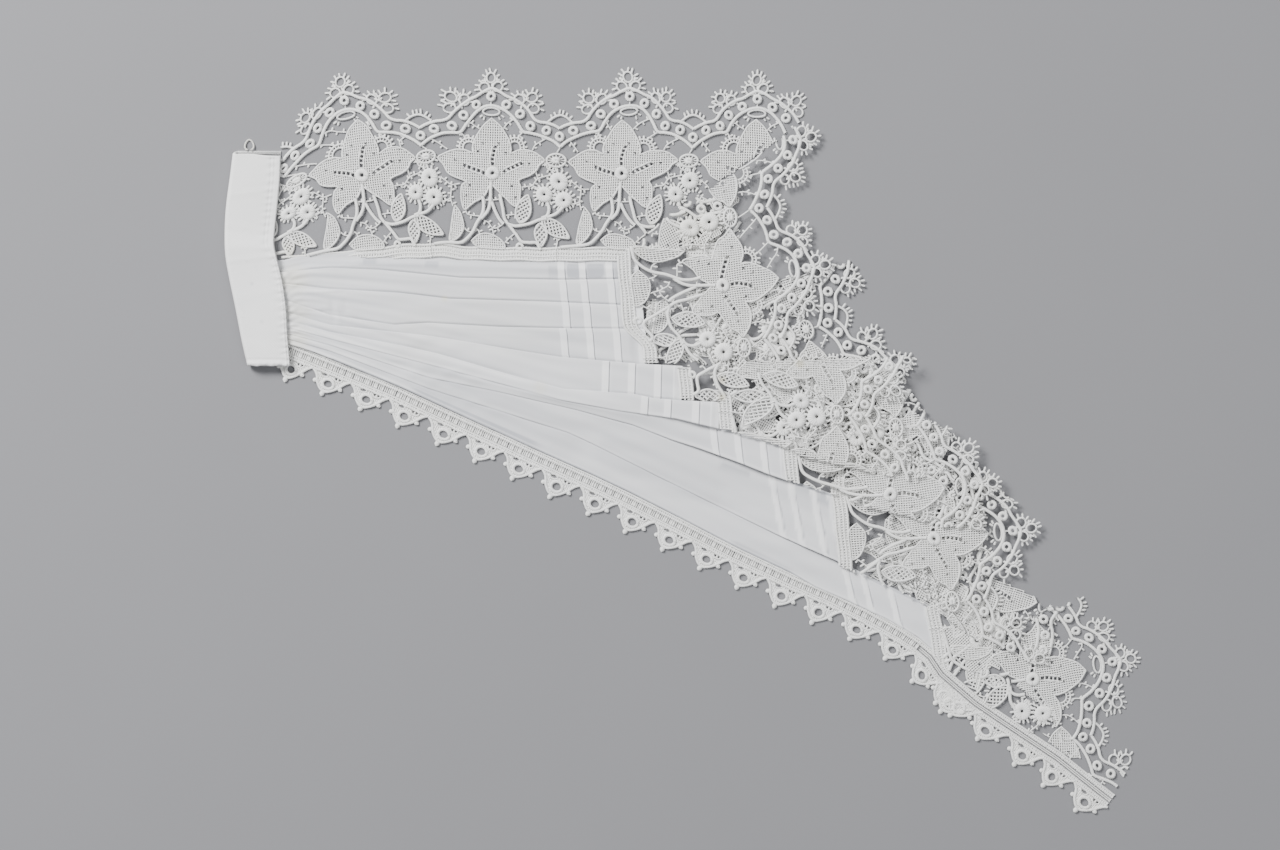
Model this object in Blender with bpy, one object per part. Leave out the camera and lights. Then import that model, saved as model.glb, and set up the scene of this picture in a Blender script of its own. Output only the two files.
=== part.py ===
"""A pleated lawn jabot, laid flat, with a crochet lace border and a narrow picot edging.

The plan is drawn on a layout sheet of small squares, x to the right and y down the sheet. The lace has a
chart on the same squares: along its seam, and outward from the middle of a star flower. All cloth is a stiff
wall.
"""

import math

import bmesh
import bpy
from mathutils import Vector

MM = 0.001
SQUARE = 0.36 * MM
SHEET_MIDDLE = (686.85, 440.36)

WALL = 1.0 * MM
SEAM_GAP = 0.3 * MM
RAISED = 0.4 * MM
LEVEL = WALL + RAISED + SEAM_GAP
SEAM_SQUARES = SEAM_GAP / SQUARE

# The neckband: two layers of linen folded along the left, with the gathered lawn held between them. The fold
# is rows of squares in from its edge and share of the height.
BAND_RIGHT = ((280, 156), (278, 190), (275, 220), (273, 250), (276, 270), (281, 290), (284, 310), (287, 330),
              (288, 345), (290, 366))
BAND_LEFT = ((233, 156), (229, 200), (226, 240), (227, 260), (231, 280), (236, 300), (243, 340), (248, 366))
BAND_SLOT = 1.6 * MM
BAND_THIN_SLOT = 0.5 * MM
BAND_OPENS = (228.0, 250.0)
BAND_FOLD = ((3.0, 1.0), (0.6, 0.78), (0.0, 0.5), (0.6, 0.22), (3.0, 0.0))
BAND_FOLD_DEPTH = 1.6 * WALL
BAND_STATIONS = 21
BACK_LAYER_SHOWS = 3.5

# The loop of thread at the top of the neckband, in squares, with the angles it runs through and how it rises
LOOP_MIDDLE = (249.5, 145.2)
LOOP_SIZE = (8.6, 10.6)
LOOP_THREAD = 0.65 * MM
LOOP_POINTS = 13
LOOP_FROM = -70
LOOP_TURN = 320
LOOP_RISE = (1.4, -0.4)

# The creases of the pleats: where each starts to stand up, the mound and the step at the hem, and its line
CREASES = (
    # name, starts at x, mound at hem, step at hem (mm, positive where the lower face lies on top), line
    ("top seam", 330, 1.0, 0.0, ((285, 263), (310, 257), (640, 257.5), (700, 258))),
    ("one", 330, 1.45, 0.7, ((285, 272), (330, 268), (380, 270), (460, 278), (560, 280), (640, 279),
                               (700, 279))),
    ("two", 340, 2.0, 0.6, ((285, 284), (330, 289), (400, 293), (450, 299), (550, 302), (640, 306),
                              (700, 308))),
    ("three", 395, 2.4, 0.6, ((285, 300), (330, 315), (395, 324), (430, 322), (560, 328), (640, 329),
                                (700, 330))),
    ("four", 430, 3.5, 1.7, ((285, 312), (330, 326), (430, 338), (490, 348), (560, 357), (640, 364),
                               (700, 367))),
    ("five", 560, 5.2, 1.6, ((285, 320), (330, 333), (430, 355), (560, 388), (620, 396), (670, 400),
                               (760, 404))),
    ("six", 600, 5.2, -1.7, ((285, 328), (330, 339), (430, 369), (560, 403), (620, 411), (670, 417),
                             (715, 428), (765, 441), (805, 458), (840, 470))),
    ("seven", 632, 3.6, -1.8, ((285, 335), (330, 345), (430, 382), (560, 420), (632, 434), (700, 452),
                               (765, 473), (805, 487), (880, 512))),
    ("eight", 740, 1.9, -1.7, ((285, 341), (330, 351), (430, 393), (560, 446), (700, 505), (775, 533),
                               (835, 560), (865, 577), (960, 622))),
    ("long edge", 330, 1.0, 0.0, ((285, 347), (300, 349), (330, 357), (400, 389), (430, 404), (500, 440),
                                  (560, 470), (640, 505), (700, 537), (800, 583), (880, 620), (960, 668))),
)
GATHERED_HEIGHT = 1.9 * MM
MOUND_LENGTH = 360
STEP_LENGTH = 130
FOLD_ROUND = 1.2 * MM
FOLD_DROP = 0.5 * MM
FOLD_SHARE = 0.4
FOLD_WIDEST = 0.3
UNDERLAP = 1.5 * MM
UNDERLAP_WIDEST = 0.25
PLEATS_START = 330
STRIP_STATIONS = 8
EASE_UNDER = 0.25 * MM

# Three pin tucks beside the hem of each pleat face
TUCKS_FROM_HEM = (9.5 * MM, 19.0 * MM, 28.5 * MM)
TUCK_WIDTH = 1.3 * MM
TUCK_HEIGHT = 0.4 * MM
TUCK_ROUND = 0.5

# The gathers where the lawn enters the neckband
GATHER_COUNT = 14
FLOOR_EVERY = 4
GATHERED_FROM = 264
GATHERED_TO = 346
GATHERS_OVERLAP = 4
GATHER_SECTIONS = (
    # squares right of the band's edge (None where the pleats start), low, high and depth of the waves (mm)
    (-10.0, 1.3, 2.3, 0.0),
    (1.0, 1.3, 2.3, 0.0),
    (2.6, 0.0, 2.4, 0.4),
    (12.0, 0.0, 2.5, 0.7),
    (None, 0.0, 1.7, 0.1),
)

# The lace chart, in squares: along the seam, and outward from the flower's middle
HEADING = -84
EDGE_HALF = ((0, 104), (5, 101), (7, 96), (12, 91), (13, 84), (16, 79), (21, 76), (25, 80), (33, 84),
             (41, 82), (45, 75), (47, 66), (47, 58), (50, 52), (56, 52), (60, 57))
VALLEY = ((65.2, 58),)
FLOWER = ((0, 55), (12, 41), (19, 22), (35, 24), (48, 18), (54, 13), (47, 4), (37, -3), (27, -8), (30, -20),
          (27, -31), (23, -33), (12, -24), (0, -11), (-12, -25), (-22, -32), (-28, -36), (-31, -27),
          (-30, -14), (-27, -8), (-38, -5), (-48, 5), (-54, 12), (-46, 19), (-34, 24), (-19, 21), (-12, 41))
PADDED_RINGS = ((68, -7, 9.0), (53, -21, 8.0), (72, -26, 8.5))
RING_SIDES = 8
RELIEF_FOOT = 0.3 * WALL
TOP_HEADING_LINE = 256.3
TOP_LACE_TAIL = 30
EASED_FROM = 350
EASED_TO = 283
EASED_DROP = 22
EASED_HEIGHT = 110
GAPS = (
    ((29, 40), (25, 49), (19, 56), (12, 60), (9, 52), (14, 42), (20, 33), (26, 36)),
    ((-29, 40), (-25, 49), (-19, 56), (-12, 60), (-9, 52), (-14, 42), (-20, 33), (-26, 36)),
    ((60, 27), (50, 33), (33, 37), (33, 28), (42, 24), (50, 20), (57, 16), (62, 21)),
    ((-60, 27), (-50, 33), (-33, 37), (-33, 28), (-42, 23), (-50, 18), (-57, 15), (-62, 21)),
    ((29, -10), (39, -4), (47, 2), (56, 1), (56, -5), (46, -11), (41, -21), (33, -25)),
    ((-28, -11), (-38, -7), (-48, -2), (-51, -7), (-45, -14), (-43, -24), (-39, -33), (-33, -30), (-32, -16)),
    ((-42, -38), (-47, -36), (-56, -38), (-60, -43), (-55, -49), (-48, -58), (-45, -52)),
    ((-24, -36), (-17, -29), (-12, -28), (-11, -34), (-13, -41), (-20, -41)),
    ((-29, -44), (-24, -42), (-15, -43), (-18, -51), (-23, -57), (-27, -53)),
    ((-2, -40), (5, -48), (19, -59), (14, -65), (5, -61), (-4, -59), (-13, -57), (-13, -52), (-7, -47)),
    ((13, -27), (19, -34), (29, -37), (28, -44), (24, -49), (17, -49), (12, -43)),
    ((22, -55), (36, -56), (43, -54), (40, -66), (31, -66), (26, -61)),
    ((55, -58), (61, -64), (65, -70), (62, -73), (54, -73), (56, -68)),
)
GAP_MARGIN = 3.0

# Where each length of lace lies: flower middles, turn of the outward way above +x, level, edge shift, region
MITRE = ((640, 240), (668, 216), (700, 195), (735, 172), (768, 148), (800, 122))
LONG_EDGE_END = ((930, 650), (945, 672), (978, 700), (1000, 715), (1030, 735), (1060, 755), (1100, 787),
                 (1113, 797))
LACES = (
    # name, flower middles with the turn of each, level, edge shift (along, out), raised flowers, region
    ("lace_top", ((363, 175, 96), (492, 172, 90), (622, 172, 90), (755, 175, 88)), 0, (0, 0), (0, 1, 2),
     ((280.9, 60), (280.9, 156), (278.9, 190), (275.9, 220), (273.9, 250), (275, 256), (640, 256.5))
     + MITRE + ((830, 60),)),
    ("lace_pleat_1", ((709, 155, 6), (723, 285, 6), (737, 415, 6)), 1, (-6, 9), (0, 1),
     MITRE + ((880, 60), (900, 300), (860, 368), (700, 366), (690, 364), (640, 362), (630, 300))),
    ("lace_pleat_2", ((771, 273, 20), (816, 396, 20)), 0, (0, 0), (),
     ((770, 285), (850, 260), (970, 330), (960, 390), (790, 375), (760, 330))),
    ("lace_pleat_3", ((771, 350, -2),), 2, (0, 0), (),
     ((686.8, 366.5), (790, 359), (790, 398), (738, 402.5), (686.8, 400))),
    ("lace_pleat_4", ((820, 350, -2), (824.5, 480.5, -2)), 3, (0, 0), (0, 1),
     ((736.8, 404.5), (762, 368), (790, 360), (905, 356), (960, 370), (960, 470), (905, 480), (850, 468),
      (805, 458), (765, 441.5), (730, 431))),
    ("lace_pleat_5", ((875, 364, 6), (889, 494, 6)), 2, (0, 0), (1,),
     ((795, 456.5), (850, 438), (880, 421), (892, 419), (903, 430), (920, 433), (938, 441), (948, 425),
      (1060, 425), (1060, 560), (958, 548), (944, 536), (929, 525), (903, 515), (877, 511), (805, 486),
      (790, 481))),
    ("lace_pleat_6", ((922, 408, 5), (933, 538, 5), (944, 668, 5)), 1, (0, 8), (1,),
     ((840, 499.5), (929, 500), (975, 497), (1013, 500), (1100, 470), (1100, 570), (1003, 580), (1006, 648),
      (1000, 645), (925, 605), (866, 576.5), (845, 566))),
    ("lace_pleat_7", ((1012, 550, 9), (1032, 679, 9), (1052, 808, 9)), 0, (0, 3), (1,),
     ((925, 606), (950, 590), (985, 574), (1035, 597), (1062, 607), (1080, 595), (1170, 595), (1170, 760),
      (1126, 808), (1113, 798.2), (1100, 786), (1060, 753.8), (1030, 733.8), (1000, 713.8), (978, 698.8),
      (946, 671), (935, 655))),
)
# Which length of lace is sewn to the hem of each pleat face, from the top seam down
HEM_LACE = (1, 1, 1, 1, 3, 4, 5, 6, 7)
HEM_REACH = 400
HEM_NEAR = 700.0
HEM_TRIES = 6

# The narrow picot edging, in squares: along its heading, and outward from the heading's middle
EDGING_HEADING = 13
POINT_OUTLINE = ((-20.7, 6), (-15, 7), (-14, 12), (-10, 15), (-7, 23), (-2, 24), (5, 18), (10, 16), (15, 9))
POINT_HOLE = (-2, 10, 5.0)
POINT_HOLE_SIDES = 6
POINT_COUNT = 22
EDGING_FIRST = (291.6, 351.5)
BEND_REACH = 12

# Plain colours for each finish: colour, roughness
LINEN = ((0.80, 0.80, 0.77), 0.75)
LAWN = ((0.78, 0.78, 0.76), 0.80)
LACE = ((0.82, 0.82, 0.79), 0.85)
THREAD = ((0.66, 0.65, 0.62), 0.80)


def sheet(x, y, z=0.0):
    """A place on the layout sheet, in metres, with the middle of the whole jabot at the origin."""
    return Vector(((x - SHEET_MIDDLE[0]) * SQUARE, (SHEET_MIDDLE[1] - y) * SQUARE, z))


def along_line(line, key, axis=0):
    """The other coordinate of a line of points where the one on the given axis is key."""
    first, last = line[0], line[-1]
    if key <= first[axis]:
        return first[1 - axis]
    for start, end in zip(line, line[1:]):
        if start[axis] <= key <= end[axis]:
            share = (key - start[axis]) / (end[axis] - start[axis])
            return start[1 - axis] + share * (end[1 - axis] - start[1 - axis])
    return last[1 - axis]


def smooth(share):
    share = min(1.0, max(0.0, share))
    return share * share * (3.0 - 2.0 * share)


def finish(name, colour, roughness):
    material = bpy.data.materials.new(name)
    material.use_nodes = True
    shader = material.node_tree.nodes["Principled BSDF"]
    shader.inputs["Base Color"].default_value = (*colour, 1.0)
    shader.inputs["Roughness"].default_value = roughness
    shader.inputs["Metallic"].default_value = 0.0
    return material


def own(mesh, name, collection, material=None):
    """A named object for a mesh, in one of the two collections."""
    piece = bpy.data.objects.new(name, mesh)
    if material:
        mesh.materials.append(material)
    collection.objects.link(piece)
    return piece


def guide(piece):
    """A shape that only cuts or joins another: it isn't part of the model."""
    piece.hide_render = True
    piece.display_type = "WIRE"
    return piece


def closed_mesh(curve_object):
    """The evaluated curve as one welded mesh with its faces pointing out; the curve is removed."""
    graph = bpy.context.evaluated_depsgraph_get()
    mesh = bpy.data.meshes.new_from_object(curve_object.evaluated_get(graph))
    weld = bmesh.new()
    weld.from_mesh(mesh)
    bmesh.ops.remove_doubles(weld, verts=weld.verts, dist=1e-6)
    bmesh.ops.recalc_face_normals(weld, faces=weld.faces)
    weld.to_mesh(mesh)
    weld.free()
    mesh.materials.clear()
    bpy.data.objects.remove(curve_object)
    return mesh


def flat_mesh(outlines, low, high):
    """A flat piece between two heights, from closed outlines in metres; one inside another is a hole."""
    data = bpy.data.curves.new("outline", "CURVE")
    data.dimensions = "2D"
    data.fill_mode = "BOTH"
    data.extrude = (high - low) / 2.0
    for outline in outlines:
        spline = data.splines.new("POLY")
        spline.points.add(len(outline) - 1)
        for point, place in zip(spline.points, outline):
            point.co = (place.x, place.y, 0.0, 1.0)
        spline.use_cyclic_u = True
    holder = bpy.data.objects.new("outline", data)
    bpy.context.scene.collection.objects.link(holder)
    bpy.context.view_layer.update()
    mesh = closed_mesh(holder)
    for vertex in mesh.vertices:
        vertex.co.z += (low + high) / 2.0
    return mesh


def boolean(piece, operation, other, solver="EXACT"):
    """A Boolean modifier; faces in one plane, such as undersides on the floor, need the other solver."""
    step = piece.modifiers.new(operation.lower(), "BOOLEAN")
    step.operation = operation
    step.object = other
    step.solver = solver


def loft(sections):
    """A closed solid through sections that have the same number of points, with a flat cap at each end."""
    shape = bmesh.new()
    rings = [[shape.verts.new(point) for point in section] for section in sections]
    count = len(rings[0])
    for ring, following in zip(rings, rings[1:]):
        for index in range(count):
            after = (index + 1) % count
            shape.faces.new((ring[index], ring[after], following[after], following[index]))
    shape.faces.new(rings[0])
    shape.faces.new(list(reversed(rings[-1])))
    bmesh.ops.triangulate(shape, faces=[face for face in shape.faces if len(face.verts) > 4])
    bmesh.ops.recalc_face_normals(shape, faces=shape.faces)
    mesh = bpy.data.meshes.new("loft")
    shape.to_mesh(mesh)
    shape.free()
    return mesh


def neckband():
    """The folded band: a U of two linen layers, open to the right, where the lawn and lace are held."""
    top, bottom = BAND_RIGHT[0][1], BAND_RIGHT[-1][1]
    sections = []
    for station in range(BAND_STATIONS + 1):
        y = top + (bottom - top) * station / BAND_STATIONS
        left, right = along_line(BAND_LEFT, y, 1), along_line(BAND_RIGHT, y, 1)
        opened = smooth((y - BAND_OPENS[0]) / (BAND_OPENS[1] - BAND_OPENS[0]))
        slot = BAND_THIN_SLOT + (BAND_SLOT - BAND_THIN_SLOT) * opened
        back = y - BACK_LAYER_SHOWS if station == 0 else y
        upper = WALL + slot
        crown = upper + WALL
        inner = left + BAND_FOLD_DEPTH / SQUARE
        fold = [sheet(left + inward, back + (y - back) * share, crown * share) for inward, share in BAND_FOLD]
        sections.append([
            sheet(right, back, 0.0), sheet(right, back, WALL), sheet(inner, back, WALL),
            sheet(inner, y, upper), sheet(right, y, upper), sheet(right, y, crown), *fold,
        ])
    return loft(sections)


def thread_loop():
    """A bevelled curve: a small loop of thread that comes out between the two layers of the band."""
    data = bpy.data.curves.new("thread", "CURVE")
    data.dimensions = "3D"
    data.bevel_depth = LOOP_THREAD / 2
    data.bevel_resolution = 1
    data.use_fill_caps = True
    spline = data.splines.new("POLY")
    spline.points.add(LOOP_POINTS - 1)
    for index, point in enumerate(spline.points):
        share = index / (LOOP_POINTS - 1)
        turn = math.radians(LOOP_FROM + LOOP_TURN * share)
        x = LOOP_MIDDLE[0] + LOOP_SIZE[0] / 2 * math.cos(turn)
        y = LOOP_MIDDLE[1] - LOOP_SIZE[1] / 2 * math.sin(turn)
        rise = smooth(abs(2 * share - 1) * LOOP_RISE[0] + LOOP_RISE[1])
        height = LOOP_THREAD / 2 + (WALL - LOOP_THREAD / 2) * rise
        point.co = (*sheet(x, y, height), 1.0)
    holder = bpy.data.objects.new("thread", data)
    bpy.context.scene.collection.objects.link(holder)
    bpy.context.view_layer.update()
    return closed_mesh(holder)


def placed(point, flower, edge_shift=(0, 0)):
    """A chart square as a place on the layout sheet, for one flower's middle and turn."""
    x, y, turn = flower
    outward = Vector((math.cos(math.radians(turn)), -math.sin(math.radians(turn))))
    along = Vector((-outward.y, outward.x))
    spot = Vector((x, y)) + outward * (point[1] + edge_shift[1]) + along * (point[0] + edge_shift[0])
    return spot.x, spot.y


def eased(x, y):
    """The top lace is eased down towards the neckband, so its last scallop droops there."""
    beside = min(1.0, max(0.0, (EASED_FROM - x) / (EASED_FROM - EASED_TO)))
    above = min(1.0, max(0.0, (TOP_HEADING_LINE - y) / EASED_HEIGHT))
    return x, y + EASED_DROP * beside ** 1.5 * above


def inside(point, region, margin):
    """Whether a place on the sheet lies inside a region, at least a margin from its line."""
    x, y = point
    within = False
    for (x1, y1), (x2, y2) in zip(region, region[1:] + region[:1]):
        if (y1 > y) != (y2 > y) and x < x1 + (y - y1) / (y2 - y1) * (x2 - x1):
            within = not within
        length = max(1e-6, math.hypot(x2 - x1, y2 - y1))
        share = min(1.0, max(0.0, ((x - x1) * (x2 - x1) + (y - y1) * (y2 - y1)) / length ** 2))
        if math.hypot(x1 + share * (x2 - x1) - x, y1 + share * (y2 - y1) - y) < margin:
            return False
    return within


def lace(row, collection, guides, material):
    """One length of lace: its scalloped outline, its largest gaps, its raised flowers, cut to its region."""
    name, flowers, level, edge_shift, raised, region = row
    at_band = name == "lace_top"
    low = level * LEVEL
    high = low + WALL

    def on_sheet(point, flower, shift=(0, 0)):
        spot = placed(point, flower, shift)
        return eased(*spot) if at_band else spot

    edge = [(-along, out) for along, out in reversed(EDGE_HALF[1:])] + list(EDGE_HALF) + list(VALLEY)
    outline = [on_sheet((-VALLEY[0][0], VALLEY[0][1]), flowers[0], edge_shift)]
    for flower in flowers:
        outline += [on_sheet(point, flower, edge_shift) for point in edge]
    outline.append(placed((VALLEY[0][0], HEADING), flowers[-1]))
    if at_band:
        outline[-1] = (outline[-1][0], TOP_HEADING_LINE)
        outline.append((BAND_RIGHT[0][0] - TOP_LACE_TAIL, TOP_HEADING_LINE))
    else:
        outline.append(placed((-VALLEY[0][0], HEADING), flowers[0]))
    gaps = []
    for flower in flowers:
        for gap in GAPS:
            hole = [on_sheet(point, flower) for point in gap]
            if all(inside(corner, region, GAP_MARGIN) for corner in hole):
                gaps.append(hole)
    outlines = [[sheet(*corner) for corner in shape] for shape in [outline] + gaps]
    piece = own(flat_mesh(outlines, low, high), name, collection, material)

    relief = []
    for index in raised:
        flower = flowers[index]
        relief.append([sheet(*on_sheet(point, flower)) for point in FLOWER])
        for along, out, radius in PADDED_RINGS:
            turns = [math.tau * side / RING_SIDES for side in range(RING_SIDES)]
            ring = [(along + radius * math.cos(turn), out + radius * math.sin(turn)) for turn in turns]
            relief.append([sheet(*on_sheet(point, flower)) for point in ring])
    if relief:
        above = own(flat_mesh(relief, low + RELIEF_FOOT, high + RAISED), name + "_relief", guides)
        boolean(piece, "UNION", guide(above))
    region_outline = [sheet(*corner) for corner in region]
    prism = own(flat_mesh([region_outline], low - WALL, high + WALL), name + "_region", guides)
    boolean(piece, "INTERSECT", guide(prism))
    return piece


def hem_x(lace_row, y):
    """Where the hem of a pleat face runs at a height on the sheet: just inside its lace's heading."""
    flower = lace_row[1][0]
    first = placed((-HEM_REACH, HEADING - SEAM_SQUARES), flower)
    last = placed((HEM_REACH, HEADING - SEAM_SQUARES), flower)
    return first[0] + (last[0] - first[0]) * (y - first[1]) / (last[1] - first[1])


def crease_height(crease, x):
    """The top of the cloth just above and just below a crease, at x on the sheet."""
    start, mound, step = crease[1:4]
    raised = GATHERED_HEIGHT + (mound * MM - GATHERED_HEIGHT) * smooth((x - PLEATS_START) / MOUND_LENGTH)
    half = step * MM * smooth((x - start) / STEP_LENGTH) / 2
    return raised - half, raised + half


def face_section(upper, lower, x_upper, x_lower, tuck):
    """One cross-section of a pleat face, between the creases above and below it, down to the floor."""
    y_upper, y_lower = along_line(upper[4], x_upper), along_line(lower[4], x_lower)
    z_upper = crease_height(upper, x_upper)[1] + tuck
    z_lower = crease_height(lower, x_lower)[0] + tuck
    round_upper = min(FOLD_DROP, FOLD_SHARE * abs(z_upper - tuck - crease_height(upper, x_upper)[0]))
    round_lower = min(FOLD_DROP, FOLD_SHARE * abs(z_lower - tuck - crease_height(lower, x_lower)[1]))
    fold = min(FOLD_ROUND / SQUARE, FOLD_WIDEST * (y_lower - y_upper))
    under = min(UNDERLAP / SQUARE, UNDERLAP_WIDEST * (y_lower - y_upper))
    if upper[3] < 0:
        top_edge = [(x_upper, y_upper - under, z_upper - EASE_UNDER), (x_upper, y_upper + fold, z_upper)]
    else:
        top_edge = [(x_upper, y_upper, z_upper - round_upper), (x_upper, y_upper + fold, z_upper)]
    if lower[3] > 0:
        low_edge = [(x_lower, y_lower - fold, z_lower), (x_lower, y_lower + under, z_lower - EASE_UNDER)]
    else:
        low_edge = [(x_lower, y_lower - fold, z_lower), (x_lower, y_lower, z_lower - round_lower)]
    points = top_edge + low_edge
    return [sheet(*point) for point in points] + [sheet(*low_edge[1][:2], 0.0), sheet(*top_edge[0][:2], 0.0)]


def pleat_face(index):
    """The face of one pleat, from the gathers to its hem, with three pin tucks beside the hem."""
    upper, lower = CREASES[index], CREASES[index + 1]
    hem = LACES[HEM_LACE[index]]
    ends = []
    for crease in (upper, lower):
        x = HEM_NEAR
        for _ in range(HEM_TRIES):
            x = hem_x(hem, along_line(crease[4], x))
        ends.append(x)
    length = ((ends[0] + ends[1]) / 2 - PLEATS_START) * SQUARE
    stations = [(station / STRIP_STATIONS, 0.0) for station in range(STRIP_STATIONS + 1)]
    for distance in TUCKS_FROM_HEM:
        middle, half = 1.0 - distance / length, TUCK_WIDTH / 2 / length
        stations = [row for row in stations if abs(row[0] - middle) > 2 * half]
        for side, height in ((1.0, 0.0), (TUCK_ROUND, TUCK_HEIGHT)):
            stations += [(middle - half * side, height), (middle + half * side, height)]
    sections = []
    for share, tuck in sorted(stations):
        x_upper = PLEATS_START + (ends[0] - PLEATS_START) * share
        x_lower = PLEATS_START + (ends[1] - PLEATS_START) * share
        sections.append(face_section(upper, lower, x_upper, x_lower, tuck))
    return loft(sections)


def gathers():
    """The gathered edge of the lawn: a flat tongue in the band, and soft waves that die out in the pleats."""
    sections = []
    waves = 2 * GATHER_COUNT
    for offset, low, high, depth in GATHER_SECTIONS:
        crests, floor = [], []
        for wave in range(waves + 1):
            share = wave / waves
            if offset is None:
                x = PLEATS_START + GATHERS_OVERLAP
                y = along_line(CREASES[0][4], x)
                y += (along_line(CREASES[-1][4], x) - y) * share
            else:
                y = GATHERED_FROM + (GATHERED_TO - GATHERED_FROM) * share
                x = along_line(BAND_RIGHT, y, 1) + offset
            crests.append(sheet(x, y, (high - depth * (wave % 2)) * MM))
            floor.append(sheet(x, y, low * MM))
        sections.append(crests + floor[::-FLOOR_EVERY])
    return loft(sections)


def lawn_panel(collection, guides, material):
    """The panel: its gathered edge and its pleat faces, each above or below the next, as one wall."""
    piece = own(gathers(), "lawn_panel", collection, material)
    for index in range(len(CREASES) - 1):
        face = own(pleat_face(index), f"pleat_face_{index + 1}", guides)
        boolean(piece, "UNION", guide(face), "MANIFOLD")
    return piece


def edging_path():
    """The line that the narrow edging is sewn to, as places on the sheet a square or so apart."""
    line = [EDGING_FIRST]
    line += [spot for spot in CREASES[-1][4] if EDGING_FIRST[0] < spot[0] < LONG_EDGE_END[0][0]]
    line += LONG_EDGE_END
    path = []
    for start, end in zip(line, line[1:]):
        steps = max(1, round(math.dist(start, end)))
        for step in range(steps):
            share = step / steps
            path.append((start[0] + (end[0] - start[0]) * share, start[1] + (end[1] - start[1]) * share))
    return path + [line[-1]]


def beside(path, distance, out):
    """A place on the sheet at a distance along the path and outward from it, below the long edge."""
    here = min(len(path) - 1.0, max(0.0, distance))
    before = path[max(0, round(here) - BEND_REACH)]
    after = path[min(len(path) - 1, round(here) + BEND_REACH)]
    way = Vector((after[0] - before[0], after[1] - before[1])).normalized()
    index = min(len(path) - 2, int(here))
    share = here - index
    x = path[index][0] + (path[index + 1][0] - path[index][0]) * share
    y = path[index][1] + (path[index + 1][1] - path[index][1]) * share
    return x - way.y * out + way.x * (distance - here), y + way.x * out + way.y * (distance - here)


def narrow_edging(collection, material):
    """The narrow edging: a straight heading and a row of points, each with one round gap."""
    path = edging_path()
    pitch = (len(path) - 1) / POINT_COUNT
    heading, points, gaps = [], [], []
    for number in range(POINT_COUNT):
        middle = (number + 0.5) * pitch
        heading.append(beside(path, number * pitch, SEAM_SQUARES))
        points += [beside(path, middle + along, EDGING_HEADING + out) for along, out in POINT_OUTLINE]
        turns = [math.tau * side / POINT_HOLE_SIDES for side in range(POINT_HOLE_SIDES)]
        along, out, radius = middle + POINT_HOLE[0], EDGING_HEADING + POINT_HOLE[1], POINT_HOLE[2]
        gaps.append([beside(path, along + radius * math.cos(turn), out + radius * math.sin(turn))
                     for turn in turns])
    heading.append(beside(path, len(path) - 1, SEAM_SQUARES))
    outline = points + list(reversed(heading))
    outlines = [[sheet(*corner) for corner in shape] for shape in [outline] + gaps]
    return own(flat_mesh(outlines, 0.0, WALL), "narrow_edging", collection, material)


for leftover in list(bpy.data.objects):
    bpy.data.objects.remove(leftover)
jabot = bpy.data.collections.new("jabot")
cutters = bpy.data.collections.new("cutters")
bpy.context.scene.collection.children.link(jabot)
bpy.context.scene.collection.children.link(cutters)

own(neckband(), "neckband", jabot, finish("linen", *LINEN))
own(thread_loop(), "thread_loop", jabot, finish("thread", *THREAD))
lawn_panel(jabot, cutters, finish("lawn", *LAWN))
for lace_row in LACES:
    lace(lace_row, jabot, cutters, finish(lace_row[0], *LACE))
narrow_edging(jabot, finish("narrow_edging", *LACE))
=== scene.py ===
"""The looks of a pleated lawn jabot with a crochet lace border, laid flat on a table.

It is put together in a maker's order: the linen neckband, the thread loop, the pleated lawn panel, the deep
lace along its top and hem, and the narrow edging along its long side. Places are given on a layout sheet of
small squares, x to the right and y down the sheet, and heights above the table are in millimetres.
"""

import math
import random

import bpy
import numpy as np
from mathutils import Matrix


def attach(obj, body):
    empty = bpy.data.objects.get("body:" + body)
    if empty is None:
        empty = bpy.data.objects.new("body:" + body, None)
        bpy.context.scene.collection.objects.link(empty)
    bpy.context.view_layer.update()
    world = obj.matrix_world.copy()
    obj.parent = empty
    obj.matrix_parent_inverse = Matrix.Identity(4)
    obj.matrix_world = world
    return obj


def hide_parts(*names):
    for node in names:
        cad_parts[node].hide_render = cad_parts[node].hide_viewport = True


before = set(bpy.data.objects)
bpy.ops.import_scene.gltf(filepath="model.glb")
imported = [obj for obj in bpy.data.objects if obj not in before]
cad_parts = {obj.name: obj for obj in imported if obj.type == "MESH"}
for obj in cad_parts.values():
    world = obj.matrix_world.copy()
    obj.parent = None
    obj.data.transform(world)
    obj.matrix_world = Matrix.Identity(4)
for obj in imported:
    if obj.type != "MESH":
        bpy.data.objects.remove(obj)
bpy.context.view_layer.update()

# The linen neckband is a strip of plain woven linen folded in two along its left edge. The gathered lawn and
# the lace are held between its layers by a line of stitches beside a fine cord, and its lower end is a rolled
# hem. It is a closed shell, lofted down the sheet from one cross-section after another.

MM = 0.001
SQUARE = 0.36
SHEET_MIDDLE = (686.85, 440.36)

BAND_RIGHT = ((281, 154), (280, 178), (278, 201), (275.2, 228), (274.2, 243), (276.6, 256), (280, 270),
              (283.4, 285), (286.5, 308), (288, 336), (290.5, 366))
BAND_LEFT = ((233.2, 154), (230.2, 178), (227.2, 200), (225.6, 218), (225.2, 238), (226.3, 258), (230.4, 281),
             (236.2, 309), (242.6, 342), (248.2, 366))
BAND_TOP = 154.6
BAND_FOOT = 366.0
BAND_STATIONS = 190
BAND_ACROSS = 54
BAND_FOLD_STEPS = 9
BAND_LINEN = 0.55
BAND_LAYER = 1.0
BAND_SLOT = 1.6
BAND_THIN_SLOT = 0.5
BAND_OPENS = (228.0, 250.0)
BAND_FOLD_IN = 4.0
BAND_OFF_TABLE = 0.02
FOLD_STARTS_IN = 0.05
SLOT_FROM_FOLD = 1.0
SLOT_ROUND = 1.5
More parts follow.
